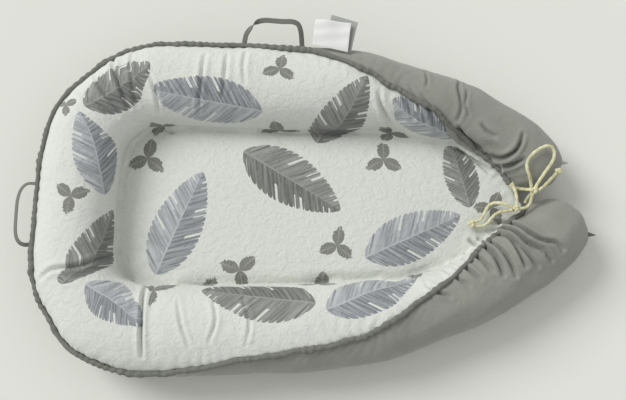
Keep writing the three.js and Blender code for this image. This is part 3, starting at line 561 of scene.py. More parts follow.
stuffing.point_cache.frame_end = STUFFING_FRAMES + 1
for step in range(1, STUFFING_FRAMES + 1):
    bpy.context.scene.frame_set(step)
data = applied(covers)
bpy.context.scene.frame_set(1)
moved = np.array([v.co for v in data.vertices]) - at_rest
far = np.linalg.norm(moved, axis=1, keepdims=True)
placed = at_rest + moved * np.minimum(1, MOVE_LIMIT / np.maximum(far, 1e-9))
placed[:, 2] = np.maximum(placed[:, 2], 0)
data.vertices.foreach_set("co", placed.astype(np.float32).ravel())
covers.vertex_groups.clear()
rounding = covers.modifiers.new("rounding", "SUBSURF")
rounding.levels = rounding.render_levels = 1
applied(covers)


# The two cloths: grey cotton below and outside, printed cotton above and inside, with the casing on the seam
# between them. At the foot both cross the ends of the roll. Each face of the one skin is given its cloth
# here, and the seam between the two is evened.
SEAM_EVENINGS = 10
GREY_EVENINGS = 4
PRINTED_SHARES = (0.13, 0.875)  # of the roll's length, where the casing parts the two cloths
UNDERSIDE_TOP = 0.017
ROLL_REACH = 0.045  # from the roll's middle line towards the lying surface
GREY_FROM = -0.5  # radians from the roll's outer side, where the grey of its two ends starts
PAST_CASING = 0.09  # radians by which that grey goes on beyond the casing
top_skin = BVHTree.FromBMesh(joined("top_cover"))
base_skin = BVHTree.FromBMesh(joined("base_cover"))
skin = bmesh.new()
skin.from_mesh(covers.data)
bpy.data.objects.remove(covers)
skin.faces.ensure_lookup_table()


def is_grey(place):
    """Whether the cloth is grey there: outside the casing, under the floor of the nest, and at the foot."""
    i = route_tree.find(Vector((place.x, place.y, 0)))[1]
    centre, _, outward, _ = roll_frames[i]
    from_middle = place - centre
    turn = math.atan2(from_middle.z, from_middle.dot(outward))
    if place.z < UNDERSIDE_TOP:
        return True
    on_roll = from_middle.dot(outward) > -ROLL_REACH
    if on_roll and PRINTED_SHARES[0] < ring_shares[i] < PRINTED_SHARES[1]:
        return turn < casing_turns[i]
    if on_roll and GREY_FROM < turn < casing_turns[i] + PAST_CASING:
        return True
    return base_skin.find_nearest(place)[3] < top_skin.find_nearest(place)[3]


grey = np.array([is_grey(face.calc_center_median()) for face in skin.faces])
for _ in range(GREY_EVENINGS):
    around = [[grey[f.index] for e in face.edges for f in e.link_faces] for face in skin.faces]
    grey = np.array([np.mean(near) for near in around]) > 0.5
joins = {}
for edge in skin.edges:
    if len({bool(grey[f.index]) for f in edge.link_faces}) == 2:
        for vert in edge.verts:
            joins.setdefault(vert, []).append(edge.other_vert(vert))
for _ in range(SEAM_EVENINGS):
    evened = {v: sum((w.co for w in near), v.co * 2) / (len(near) + 2) for v, near in joins.items()}
    for vert, place in evened.items():
        vert.co = place
border_tree = nearest_tree([v.co.copy() for v in joins])

# Where each point lies on the roll, along it and round it, and where it lies in plan on the flat cloth. The
# roll's cloth is rolled out from its inner seam, and the shift that this gives is evened between points.
PRINT_EVENINGS = 24
SEAM_INWARD = (-0.1, -0.02)  # from the roll's middle line, where its inner seam lies
SEAM_BESIDE = 0.015  # farthest place along the roll that still stands for a ring's seam
RUN_END = 1.001  # rings short of their number, where what lies past the roll's end is held
TURN_START = -1.2  # radians from the outer side, where the turn round the roll starts
LOW_BAND = 0.008  # above the seam, in which the cloth inside it belongs to the lying surface
OFF_ROLL = 0.010  # from the roll's mean form, beyond which the cloth belongs there too
skin.verts.ensure_lookup_table()
skin.normal_update()
places = np.array([v.co for v in skin.verts])
normals = np.array([v.normal for v in skin.verts])
ring = np.array([route_tree.find(Vector((p[0], p[1], 0)))[1] for p in places])
centres, tangents, outwards = (np.array([f[i] for f in roll_frames]) for i in (0, 1, 2))
seam_places = np.array(inner_seam)
seam_at = []
for centre, tangent, outward in zip(centres, tangents, outwards):
    past = (seam_places - centre) @ tangent
    inside = (seam_places - centre) @ outward
    best = np.argmin(np.abs(past) + 1.0 * ((inside > SEAM_INWARD[1]) | (inside < SEAM_INWARD[0])))
    found = abs(past[best]) < SEAM_BESIDE and inside[best] < SEAM_INWARD[1]
    seam_at.append(best if found else -1)
seam_at = np.array(seam_at)
sewn = np.flatnonzero(seam_at >= 0)
seam_at = seam_at[sewn[np.abs(np.arange(len(seam_at))[:, None] - sewn).argmin(axis=1)]]
seam_line = seam_places[seam_at]
edged = np.pad(seam_line, ((reach, reach), (0, 0)), mode="edge")
seam_line = sum(w * edged[i : i + len(seam_line)] for i, w in enumerate(weights / weights.sum()))
past = np.einsum("ij,ij->i", places - centres[ring], tangents[ring])
run = np.clip(ring * RING_STEP + past, 0, (len(centres) - RUN_END) * RING_STEP)
index = (run / RING_STEP).astype(int)
between = (run / RING_STEP - index)[:, None]


def on_run(values):
    """Values given for each ring, at each point of the skin."""
    return values[index] * (1 - between) + values[index + 1] * between


centre = on_run(centres)
outward = on_run(outwards)
seam_here = on_run(seam_line)
radius = on_run(radii.mean(axis=1, keepdims=True))[:, 0]
out = np.einsum("ij,ij->i", places - centre, outward)
rise = places[:, 2] - centre[:, 2]
turn = np.arctan2(rise, out)
turn = np.where(turn < TURN_START, turn + 2 * np.pi, turn)
seam_out = np.einsum("ij,ij->i", seam_here - centre, outward)
seam_turn = np.arctan2(seam_here[:, 2] - centre[:, 2], seam_out) % (2 * np.pi)
low_down = places[:, 2] < seam_here[:, 2] + LOW_BAND
lying = (out < seam_out) & (low_down | (np.hypot(out, rise) > radius + OFF_ROLL))
arc = radius * (seam_turn - turn)
flat = np.where(lying[:, None], places[:, :2], seam_here[:, :2] + outward[:, :2] * arc[:, None]) / MM
ends = np.array([[v.index for v in e.verts] for e in skin.edges])
counts = np.bincount(ends.ravel(), minlength=len(flat))[:, None]
shift = flat - places[:, :2] / MM
for _ in range(PRINT_EVENINGS):
    total = np.zeros_like(shift)
    for axis in (0, 1):
        total[:, axis] = np.bincount(ends[:, 0], shift[ends[:, 1], axis], minlength=len(flat))
        total[:, axis] += np.bincount(ends[:, 1], shift[ends[:, 0], axis], minlength=len(flat))
    shift = 0.5 * shift + 0.5 * total / counts
flat = places[:, :2] / MM + shift
to_casing = np.array([casing_tree.find(Vector(p))[2] for p in places])
to_seam = np.array([inner_tree.find(Vector(p))[2] for p in places])
to_border = np.array([border_tree.find(Vector(p))[2] for p in places])

# How far the cloth is pressed in: by the sewn seams, by gathers along the cord, and by single folds.
# Single folds: width and depth in millimetres, and the places in plan that each runs through
FOLDS = [
    (2.6, 7.5, [(-318, 229), (-306, 190), (-282, 133)]),
    (2.2, 4.8, [(-345, 196), (-325, 160), (-296, 126)]),
    (2.2, 3.9, [(-372, 165), (-340, 140), (-300, 118)]),
    (2.2, 3.9, [(-283, 236), (-280, 190), (-270, 136)]),
    (2.4, 4.5, [(-252, 190), (-240, 160), (-236, 130)]),
    (2.6, 5.1, [(-162, 222), (-166, 180), (-172, 130)]),
    (2.6, 4.5, [(-126, 226), (-128, 190), (-132, 150)]),
    (2.6, 3.9, [(-96, 230), (-99, 200), (-96, 172)]),
    (2.4, 9.0, [(-251, -152), (-250, -205), (-249, -262)]),
    (2.8, 6.9, [(-412, -140), (-392, -128), (-350, -122), (-312, -104)]),
    (2.2, 3.9, [(-196, -178), (-188, -214), (-176, -246)]),
    (2.2, 3.9, [(-142, -168), (-136, -206), (-146, -240)]),
    (2.2, 3.6, [(-96, -170), (-84, -210), (-90, -244)]),
    (2.8, 8.2, [(142, 112), (124, 136), (118, 156)]),
    (2.2, 5.1, [(176, 118), (160, 146), (150, 178)]),
    (2.0, 4.5, [(196, 112), (180, 140), (168, 170)]),
    (2.0, 4.5, [(214, 102), (200, 130), (188, 156)]),
    (2.4, 5.4, [(246, 114), (252, 136), (248, 168), (254, 186)]),
    (2.0, 4.5, [(262, 164), (258, 140), (264, 122)]),
    (2.0, 3.9, [(196, 200), (198, 182), (196, 168)]),
    (2.4, 11.5, [(296, 66), (318, 58), (334, 62), (344, 74), (350, 92)]),
    (2.4, 10.0, [(312, 50), (334, 46), (352, 52)]),
    (2.6, 11.5, [(248, 104), (262, 92), (280, 80), (296, 66)]),
    (2.6, 10.5, [(254, 84), (272, 72), (290, 56), (306, 42)]),
    (2.4, 6.8, [(284, 108), (294, 96), (306, 88)]),
    (2.6, 14.0, [(302, -46), (318, -44), (334, -50), (352, -66), (372, -80), (394, -84), (406, -94)]),
    (2.6, 13.0, [(298, -56), (314, -56), (332, -66), (350, -84), (374, -96), (388, -112)]),
    (2.6, 14.0, [(304, -62), (322, -74), (336, -96), (346, -122)]),
    (2.4, 11.0, [(320, -70), (336, -84), (350, -104), (366, -122)]),
    (2.6, 13.0, [(270, -72), (286, -86), (300, -108), (310, -136)]),
    (2.4, 11.0, [(284, -70), (302, -86), (318, -108), (330, -138)]),
    (2.4, 9.0, [(262, -96), (276, -108), (292, -130)]),
    (2.4, 9.0, [(240, -112), (256, -126), (274, -142)]),
    (2.4, 7.5, [(222, -124), (238, -140), (256, -152)]),
    (2.4, 6.8, [(190, -150), (206, -162), (226, -170)]),
]
FOLD_STEP = 5.0
FOLD_END = 0.04  # share of a fold's length by which it stops short of fading out
FOLD_FADE = 0.6
BULGE_SHARE = 0.4  # of a fold's depth, by which the cloth beside it stands up
BULGE_AWAY = 2.6  # widths of the fold, from its line
BULGE_WIDTH = 1.5
UPPER_SLOPE = -0.1  # upward part of the normal from which cloth counts as upper
UPPER_BLEND = 0.3
OFF_FLOOR = 0.02
CREVICE_DEPTH = 6.5
CREVICE_WIDTH = 3.2
JOIN_DEPTH = 1.4
JOIN_WIDTH = 2.4
GATHER_LENGTH = 19.0
GATHER_DEPTH = 2.0
GATHER_REACH = 26.0
GATHER_SHIFT = 1.6  # gathers by which the waver moves them
GATHER_MEAN = 0.65
GATHER_SPREAD = 0.9
GATHER_SHARPNESS = 1.5
WAVER_RATES = (9, 1.5)  # for a metre along the roll and for a radian round it
DEEPER_RATE = 14
DEEPER_ROW = 4.7  # of the noise
NOISE_ROW = 0.3
SWELL_LENGTH = 55.0
SWELL_DEPTH = 1.8
SWELL_START = 0.01
SWELL_BLEND = 0.02
ZIP_SLOT_LOW = (-0.2125, -0.033, -0.001)
ZIP_SLOT_HIGH = (0.1925, -0.0012, 0.02)
ZIP_SLOT_ROOF = 0.0125


def from_fold(points, line):
    """Distance in plan from a line of points, and the share of its length at the nearest place."""
    near = np.full(len(points), 1e9)
    at = np.zeros(len(points))
    curve = smooth_route([Vector((x, y, 0)) for x, y in line], FOLD_STEP)[0]
    line = np.array([p.to_2d() for p in curve])
    lengths = np.linalg.norm(np.diff(line, axis=0), axis=1)
    before = np.concatenate([[0], np.cumsum(lengths)])
    for a, b, length, start in zip(line, line[1:], lengths, before):
        share = np.clip((points - a) @ (b - a) / length ** 2, 0, 1)
        gap = np.linalg.norm(points - a - share[:, None] * (b - a), axis=1)
        at = np.where(gap < near, (start + share * length) / before[-1], at)
        near = np.minimum(gap, near)
    return near, at


plan = places[:, :2] / MM
off_floor = places[:, 2] > OFF_FLOOR
upper = np.clip((normals[:, 2] - UPPER_SLOPE) / UPPER_BLEND, 0, 1) * off_floor
pressed = CREVICE_DEPTH * np.exp(-((to_seam / MM / CREVICE_WIDTH) ** 2)) * upper
pressed += JOIN_DEPTH * np.exp(-((to_border / MM / JOIN_WIDTH) ** 2))
for width, depth, line in FOLDS:
    gap, at = from_fold(plan, line)
    strength = depth * np.sin(np.pi * np.clip(at * (1 - 2 * FOLD_END) + FOLD_END, 0, 1)) ** FOLD_FADE
    bulge = BULGE_SHARE * np.exp(-(((gap - BULGE_AWAY * width) / (BULGE_WIDTH * width)) ** 2))
    pressed += strength * (np.exp(-((gap / width) ** 2)) - bulge) * upper
waver = np.array([
    noise.noise(Vector((r * WAVER_RATES[0], t * WAVER_RATES[1], NOISE_ROW))) for r, t in zip(run, turn)
])
deeper = np.array([noise.noise(Vector((r * DEEPER_RATE, DEEPER_ROW, NOISE_ROW))) for r in run])
phase = 2 * np.pi * (run / MM / GATHER_LENGTH + GATHER_SHIFT * waver)
gathers = GATHER_DEPTH * (GATHER_MEAN + GATHER_SPREAD * deeper)
gathers *= (0.5 + 0.5 * np.sin(phase)) ** GATHER_SHARPNESS
pressed += gathers * np.exp(-to_casing / MM / GATHER_REACH) * off_floor
swell = np.array([noise.noise(Vector(p / MM / SWELL_LENGTH)) for p in places])
pressed += SWELL_DEPTH * swell * (1 - lying) * np.clip((places[:, 2] - SWELL_START) / SWELL_BLEND, 0, 1)
places = places - normals * (pressed * MM)[:, None]
places[:, 2] = np.maximum(places[:, 2], 0)
in_slot = np.all((places > ZIP_SLOT_LOW) & (places < ZIP_SLOT_HIGH), axis=1)
places[in_slot, 2] = ZIP_SLOT_ROOF
for vert, place in zip(skin.verts, places):
    vert.co = place


# The print: leaves in charcoal and blue-grey and small sprigs, on unbleached cotton. It is laid out on the
# flat cloth, where each point of the skin is told its place on the motif that it lies in.
# Leaves: place, direction of the tip, half length in millimetres, and 0 for charcoal or 1 for blue-grey
LEAVES = [
    (-206, -44, 66, 92, 1), (-22, 26, -32, 94, 0), (176, -66, 24, 86, 1), (256, 42, 104, 62, 0),
    (-330, 226, 34, 88, 0), (-158, 212, 168, 92, 1), (62, 172, 62, 92, 0), (206, 172, 146, 70, 1),
    (-398, 78, 102, 84, 1), (-392, -106, 66, 88, 0), (-322, -232, -34, 80, 1), (-70, -232, 172, 92, 0),
    (116, -222, 22, 84, 1),
]
# Sprigs: place, direction and half length
SPRIGS = [
    (-106, -122, 40, 34), (52, -82, 200, 32), (-262, 66, 80, 36), (130, 62, -30, 34), (-44, 138, 100, 38),
    (-246, 140, 20, 36), (146, 122, 240, 34), (-436, -10, 140, 32), (-164, -166, 300, 38), (24, -160, 80, 38),
    (196, -160, 20, 34), (-232, -214, 150, 34), (306, -18, 60, 30), (-40, 268, 200, 30), (-446, 176, 30, 32),
]
LEAF_ROOM = (1.16, 0.64)  # shares of the half length
SPRIG_ROOM = (1.14, 1.14)
MOTIF_GAP = 0.1  # by which the next motif has to be farther away


def laid_out(motifs, room):
    """Each point's place along and across its nearest motif, 1 where it has room, and the motif's row."""
    spots = np.zeros((len(flat), 3))
    rows = np.zeros(len(flat), int)
    nearest = np.full(len(flat), 1e9)
    second = nearest.copy()
    for row, (x, y, direction, half_length, *_) in enumerate(motifs):
        ahead = np.array([math.cos(math.radians(direction)), math.sin(math.radians(direction))])
        aside = np.array([-ahead[1], ahead[0]])
        shift = (flat - np.array((x, y))) / half_length
        spot = np.stack([shift @ ahead, shift @ aside], axis=1)
        size = np.hypot(spot[:, 0] / room[0], spot[:, 1] / room[1])
        nearer = size < nearest
        spots[nearer, :2] = spot[nearer]
        rows[nearer] = row
        second = np.minimum(second, np.maximum(size, nearest))
        nearest = np.minimum(size, nearest)
    spots[:, 2] = (nearest < 1) & (second > nearest + MOTIF_GAP)
    return spots, rows


leaf_spots, leaf_rows = laid_out(LEAVES, LEAF_ROOM)
leaf_kinds = np.array([motif[4] for motif in LEAVES], float)[leaf_rows]
sprig_spots, _ = laid_out(SPRIGS, SPRIG_ROOM)
leaf_layer = skin.verts.layers.float_vector.new("leaf")
kind_layer = skin.verts.layers.float.new("leaf_kind")
sprig_layer = skin.verts.layers.float_vector.new("sprig")
for vert, leaf, kind, sprig in zip(skin.verts, leaf_spots, leaf_kinds, sprig_spots):
    vert[leaf_layer] = leaf
    vert[kind_layer] = kind
    vert[sprig_layer] = sprig

CLOTH_THICKNESS = 0.0012
COTTON = "#dee1da"
COTTON_SHADE = "#d0d3cc"
CHARCOAL = "#676965"
CHARCOAL_PALE = "#9b9d98"
BLUE_GREY = "#7c8083"
BLUE_GREY_PALE = "#bcc0c2"
SPRIG_GREY = "#6e7069"
SPRIG_PALE = "#a0a29a"
GREY_CLOTH = "#979890"
GREY_CLOTH_SHADE = "#85867e"
BAND = math.pi / 10  # spacing of a Wave texture's bands at a scale of 1
THREAD_SPACING = 0.0011  # drawn about three times coarser than the real thread, so that it shows
LEAF_BARBS = 9.0
LEAF_SLANT = 0.75
LOBE_ANGLE = math.radians(120)
FIRST, SECOND, MIXED = 6, 7, 2  # sockets of a Mix node for its two colours and for its result


def weave_bump(tree, coords, shader, crumple):
    """Crossed threads and fine crumples, on the shader's normal."""
    threads = []
    for direction in ("X", "Y"):
        wave = add(tree, "TexWave", {"Vector": coords.outputs["Object"], "Scale": BAND / THREAD_SPACING,
                                     "Distortion": 0.6, "Detail": 1.0}, bands_direction=direction)
        threads.append(wave.outputs["Fac"])
    cloth = add(tree, "Math", {0: threads[0], 1: threads[1]}, operation="MULTIPLY")
    weave = add(tree, "Bump", {"Height": cloth.outputs["Value"], "Strength": 0.35, "Distance": 0.0004})
    small = add(tree, "TexNoise", {"Vector": coords.outputs["Object"], "Scale": 95.0, "Detail": 4.0,
                                   "Distortion": 0.8})
    crumples = add(tree, "Bump", {"Height": small.outputs["Fac"], "Strength": 1.0, "Distance": crumple,
                                  "Normal": weave.outputs["Normal"]})
    tree.links.new(crumples.outputs["Normal"], shader.inputs["Normal"])


# Printed cotton: matt plain weave, flat ink with streaks along the side veins, and a faint mottled ground
printed_cotton, tree, shader, coords = new_material("printed_plain_weave_cotton", 0.9)
leaf = add(tree, "Attribute", attribute_name="leaf").outputs["Vector"]
leaf_parts = add(tree, "SeparateXYZ", {"Vector": leaf}).outputs
kind = add(tree, "Attribute", attribute_name="leaf_kind").outputs["Fac"]
sprig = add(tree, "Attribute", attribute_name="sprig").outputs["Vector"]
sprig_parts = add(tree, "SeparateXYZ", {"Vector": sprig}).outputs
sprig_plan = add(tree, "CombineXYZ", {"X": sprig_parts["X"], "Y": sprig_parts["Y"]}).outputs["Vector"]
known = {
    "along": leaf_parts["X"],
    "across": leaf_parts["Y"],
    "leaf_room": leaf_parts["Z"],
    "sprig_x": sprig_parts["X"],
    "sprig_y": sprig_parts["Y"],
    "sprig_room": sprig_parts["Z"],
    "far_out": add(tree, "VectorMath", {0: sprig_plan}, operation="LENGTH").outputs["Value"],
    "ragged": add(tree, "TexNoise", {"Vector": sprig, "Scale": 7.0, "Detail": 3.0}).outputs["Fac"],
}

# Each row names a result, an operation, and what it takes: numbers or results that are known by then.
# The barbs of a leaf slant back from its midrib, and ink streaks run along them
for result, operation, *given in (
    ("aside", "ABSOLUTE", "across"),
    ("side", "SIGN", "across"),
    ("slant", "MULTIPLY", "aside", LEAF_SLANT),
    ("ahead", "SUBTRACT", "along", "slant"),
    ("barb", "MULTIPLY", "ahead", LEAF_BARBS),
    ("streak_x", "MULTIPLY", "barb", 1.3),
    ("streak_y", "MULTIPLY", "side", 3.0),
    ("streak_z", "MULTIPLY", "aside", 1.2),
):
    values = {i: known.get(value, value) for i, value in enumerate(given)}
    known[result] = add(tree, "Math", values, operation=operation).outputs["Value"]

streak_place = add(tree, "CombineXYZ", {axis: known["streak_" + axis.lower()] for axis in "XYZ"})
streaks = add(tree, "TexNoise", {"Vector": streak_place.outputs["Vector"], "Scale": 1.6, "Detail": 3.0})
torn = add(tree, "TexNoise", {"W": known["barb"], "Scale": 1.1, "Detail": 0.0}, noise_dimensions="1D")
known.update(streaks=streaks.outputs["Fac"], torn=torn.outputs["Fac"])
for result, operation, *given in (
    # The leaf's outline: a long oval, a little narrower to its tip, notched between its barbs
    ("square", "MULTIPLY", "along", "along"),
    ("left", "SUBTRACT", 1.0, "square"),
    ("left", "MAXIMUM", "left", 0.0),
    ("oval", "POWER", "left", 0.7),
    ("narrowing", "MULTIPLY", "along", 0.1),
    ("breadth", "SUBTRACT", 0.45, "narrowing"),
    ("half", "MULTIPLY", "oval", "breadth"),
    ("in_barb", "FRACT", "barb"),
    ("off_middle", "SUBTRACT", "in_barb", 0.5),
    ("to_notch", "ABSOLUTE", "off_middle"),
    ("to_notch", "MULTIPLY", "to_notch", 2.0),
    ("notch", "POWER", "to_notch", 4.0),
    ("notch", "MULTIPLY", "notch", 0.12),
    ("kept", "SUBTRACT", 1.0, "notch"),
    ("rim", "MULTIPLY", "half", "kept"),
    # Some barbs are torn off outside the leaf's inner half
    ("torn_off", "GREATER_THAN", "torn", 0.66),
    ("inner_half", "MULTIPLY", "half", 0.45),
    ("outer", "GREATER_THAN", "aside", "inner_half"),
    ("split", "MULTIPLY", "torn_off", "outer"),
    ("unsplit", "SUBTRACT", 1.0, "split"),
    ("in_rim", "LESS_THAN", "aside", "rim"),
    ("has_room", "GREATER_THAN", "leaf_room", 0.97),
    ("in_leaf", "MULTIPLY", "in_rim", "has_room"),
    ("in_leaf", "MULTIPLY", "in_leaf", "unsplit"),
    # Its ink: streaked, a little paler on one side, and pale along the midrib, which thins to the tip
    ("lean", "MULTIPLY", "side", 0.07),
    ("tone", "ADD", "streaks", "lean"),
    ("to_tip", "SUBTRACT", 1.25, "along"),
    ("midrib_half", "MULTIPLY", "to_tip", 0.009),
    ("midrib", "LESS_THAN", "aside", "midrib_half"),
    ("midrib", "MULTIPLY", "midrib", 0.9),
    # The sprig's outline: three lobes with ragged rims
    ("bearing", "ARCTAN2", "sprig_y", "sprig_x"),
    ("lobe_turn", "DIVIDE", "bearing", LOBE_ANGLE),
    ("lobe_turn", "ADD", "lobe_turn", 0.5),
    ("lobe_turn", "FRACT", "lobe_turn"),
    ("lobe_turn", "SUBTRACT", "lobe_turn", 0.5),
    ("lobe_side", "ABSOLUTE", "lobe_turn"),
    ("lobe_side", "MULTIPLY", "lobe_side", 2 * 60 / 59),
    ("lobe", "SUBTRACT", 1.0, "lobe_side"),
    ("lobe", "MAXIMUM", "lobe", 0.0),
    ("lobe", "POWER", "lobe", 0.7),
    ("reach", "MULTIPLY", "ragged", 0.56),
    ("reach", "ADD", 0.72, "reach"),
    ("lobe", "MULTIPLY", "lobe", "reach"),
    ("in_lobe", "LESS_THAN", "far_out", "lobe"),
    ("has_room", "GREATER_THAN", "sprig_room", 0.97),
    ("in_sprig", "MULTIPLY", "in_lobe", "has_room"),
    # Its veins: a middle one in each lobe and side veins that slant out from it
    ("vein", "MULTIPLY", "lobe_side", 0.4),
    ("vein", "SUBTRACT", "far_out", "vein"),
    ("vein", "MULTIPLY", "vein", 6.0),
    ("vein", "FRACT", "vein"),
    ("vein", "GREATER_THAN", "vein", 0.84),
    ("middle_vein", "LESS_THAN", "lobe_side", 0.06),
    ("vein", "MAXIMUM", "vein", "middle_vein"),
    ("sprig_tone", "ADD", "vein", "ragged"),
    ("sprig_tone", "MULTIPLY", "sprig_tone", 0.5),
):
    values = {i: known.get(value, value) for i, value in enumerate(given)}
    known[result] = add(tree, "Math", values, operation=operation).outputs["Value"]

spread = add(tree, "MapRange", {"Value": known["tone"], "From Min": 0.32, "From Max": 0.72})
ink = add(tree, "Math", {0: spread.outputs["Result"], 1: known["midrib"]}, operation="MAXIMUM")
ink = ink.outputs["Value"]
charcoal = add(tree, "Mix", {0: ink, FIRST: colour(CHARCOAL), SECOND: colour(CHARCOAL_PALE)},
               data_type="RGBA")
blue = add(tree, "Mix", {0: ink, FIRST: colour(BLUE_GREY), SECOND: colour(BLUE_GREY_PALE)}, data_type="RGBA")
leaf_ink = add(tree, "Mix", {0: kind, FIRST: charcoal.outputs[MIXED], SECOND: blue.outputs[MIXED]},
               data_type="RGBA")
sprig_ink = add(tree, "Mix", {0: known["sprig_tone"], FIRST: colour(SPRIG_GREY), SECOND: colour(SPRIG_PALE)},
                data_type="RGBA")
mottle = add(tree, "TexNoise", {"Vector": coords.outputs["Object"], "Scale": 260.0, "Detail": 3.0})
ground = add(tree, "Mix", {0: mottle.outputs["Fac"], FIRST: colour(COTTON_SHADE), SECOND: colour(COTTON)},
             data_type="RGBA")
sprigged = add(tree, "Mix", {0: known["in_sprig"], FIRST: ground.outputs[MIXED],
                             SECOND: sprig_ink.outputs[MIXED]}, data_type="RGBA")
printed = add(tree, "Mix", {0: known["in_leaf"], FIRST: sprigged.outputs[MIXED],
                            SECOND: leaf_ink.outputs[MIXED]}, data_type="RGBA")
tree.links.new(printed.outputs[MIXED], shader.inputs["Base Color"])
shader.inputs["Sheen Weight"].default_value = 0.15
weave_bump(tree, coords, shader, crumple=0.0022)

# Grey cotton: the same weave, dyed in the piece, with a soft sheen on its folds
grey_cotton, tree, shader, coords = new_material("dyed_plain_weave_cotton", 0.85)
shade = add(tree, "TexNoise", {"Vector": coords.outputs["Object"], "Scale": 30.0, "Detail": 4.0})
dyed = add(tree, "Mix", {0: shade.outputs["Fac"], FIRST: colour(GREY_CLOTH_SHADE),
                         SECOND: colour(GREY_CLOTH)}, data_type="RGBA")
tree.links.new(dyed.outputs[MIXED], shader.inputs["Base Color"])
shader.inputs["Sheen Weight"].default_value = 0.2
weave_bump(tree, coords, shader, crumple=0.0012)

for name, wanted, cloth, slot, nodes in (
    ("printed_cover", False, printed_cotton, "printed_cotton", ("top_cover", "mattress_insert")),
    ("grey_cover", True, grey_cotton, "grey_cotton", ("base_cover", "bumper_filling")),
):
    cloth_mesh = skin.copy()
    cloth_mesh.faces.ensure_lookup_table()
    others = [f for f, found in zip(cloth_mesh.faces, grey) if found != wanted]
    bmesh.ops.delete(cloth_mesh, geom=others, context="FACES")
    cover = shown(name, cloth_mesh)
    wall = cover.modifiers.new("cloth", "SOLIDIFY")
    wall.thickness = CLOTH_THICKNESS
    wall.offset = -1
    cover.data.materials.append(cloth)
    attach(cover, "nest")
    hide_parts(*nodes)
skin.free()


# The casing: a narrow tunnel of the grey cloth sewn round the roll's outer edge, gathered on the cord in it.
# It is a tube along the seam whose radius swells and narrows from pleat to pleat.
CASING_RADIUS = 0.0045
CASING_LEAST = 0.0035
CASING_STEP = 0.0015
CASING_SIDES = 14
CASING_TAPER = 0.006  # over which each of its ends closes
CASING_END = 0.001  # by which an end stays open
PLEAT_LENGTH = 0.0125
PLEAT_DEPTH = 0.24
PLEAT_SHIFT = 9  # radians by which the wander moves the pleats along
PLEAT_SLANT = 0.9  # radians by which a pleat swings as it goes round the casing
SLANT_SHIFT = 6
WANDER_RATE = 12  # for a metre
LUMP_RATE = 38
LUMP_DEPTH = 0.4
LUMP_ROW = 1.5  # of the noise
CASING_GREY = "#82837c"
# The darker grey is painted shade, for the folds where the pleats close
CASING_PAINTED_SHADE = "#5f605b"
casing_route, _ = smooth_route(casing_places, CASING_STEP)


def casing_section(i, turn):
    """The section of the gathered casing."""
    run = i * CASING_STEP
    wander = noise.noise(Vector((run * WANDER_RATE, 0, 0)))
    lump = noise.noise(Vector((run * LUMP_RATE, LUMP_ROW, 0)))
    swing = PLEAT_SLANT * math.sin(turn + SLANT_SHIFT * wander)
    pleat = math.sin(2 * math.pi * run / PLEAT_LENGTH + PLEAT_SHIFT * wander + swing)
    radius = CASING_RADIUS * (1 + PLEAT_DEPTH * pleat * (0.5 + wander) + LUMP_DEPTH * lump)
    to_end = len(casing_route) * CASING_STEP - run
    radius = max(CASING_LEAST, radius) * min(1, (run + CASING_END) / CASING_TAPER, to_end / CASING_TAPER)
    return radius * math.cos(turn), radius * math.sin(turn)


# Gathered grey cotton: the same weave, matt, with painted shade: a darker mottle that stands for the shade
# where its small pleats close
casing = shown("gathered_casing", swept(outward_frames(casing_route), CASING_SIDES, casing_section))
casing_cotton, tree, shader, coords = new_material("gathered_dyed_cotton_painted_shade", 0.85)
shade = add(tree, "TexNoise", {"Vector": coords.outputs["Object"], "Scale": 160.0, "Detail": 3.0})
pleat_painted_shade = add(tree, "Mix", {0: shade.outputs["Fac"], FIRST: colour(CASING_PAINTED_SHADE),
                            SECOND: colour(CASING_GREY)}, data_type="RGBA")
tree.links.new(pleat_painted_shade.outputs[MIXED], shader.inputs["Base Color"])
weave_bump(tree, coords, shader, crumple=0.0012)
casing.data.materials.append(casing_cotton)
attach(casing, "nest")
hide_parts("edge_casing")

string_places = [*string_middles[:3], *casing_places, *string_middles[-3:]]
string_route, _ = smooth_route(string_places, CORD_STEP)
cord_piece("drawstring_cord", "drawstring", string_route, along_cord)


# Two carrying handles: flat polyester webbing, its ends sewn into the casing's seam. Each is a strap along a
# route that stands up from the roll, and the side one is turned over once on its way.
WEBBING_WIDTH = 0.0085
WEBBING_WALL = 0.0016
WEBBING_STEP = 0.0012
WEBBING_SIDES = 20
WIDE_POWER = 0.35  # rounds the flat section's corners, with the next
THICK_POWER = 0.6
TURNED_AT = 0.27  # share of the strap's length
TURN_SPAN = 0.035
RIB_SPACING = 1.0  # in the strap's own coordinates, which are millimetres
WEBBING_GREY = "#83847d"
# The darker colour is painted shade, for the dips between the ribs
WEBBING_PAINTED_SHADE = "#62635d"
# Routes in millimetres
SIDE_ROUTE = [
    (-100.4, 246.5, 78.4), (-100.2, 251, 79), (-99.4, 257, 81), (-96.4, 266, 84.6), (-89, 274.5, 89),
    (-79, 282.4, 93), (-66, 285.5, 93.5), (-50, 284.8, 92.6), (-36, 283.6, 93), (-21, 283.2, 93),
    (-11.4, 279.6, 90), (-7.4, 270, 86.4), (-6, 260, 82), (-5.4, 251, 79.5), (-5.2, 246, 79),
]
HEAD_ROUTE = [
    (-432, -83, 73.5), (-441.6, -84.2, 74.6), (-447.5, -84.4, 76), (-454.5, -81.5, 77.4),
    (-459.8, -73.5, 78.2), (-462.2, -61, 78.4), (-462.6, -46, 78), (-462.4, -30, 78), (-461.6, -14, 78.2),
    (-459, -1, 78.2), (-454.5, 8.6, 77.4), (-448.6, 14.2, 76), (-441.6, 15.6, 74.6), (-432, 15, 73.5),
]

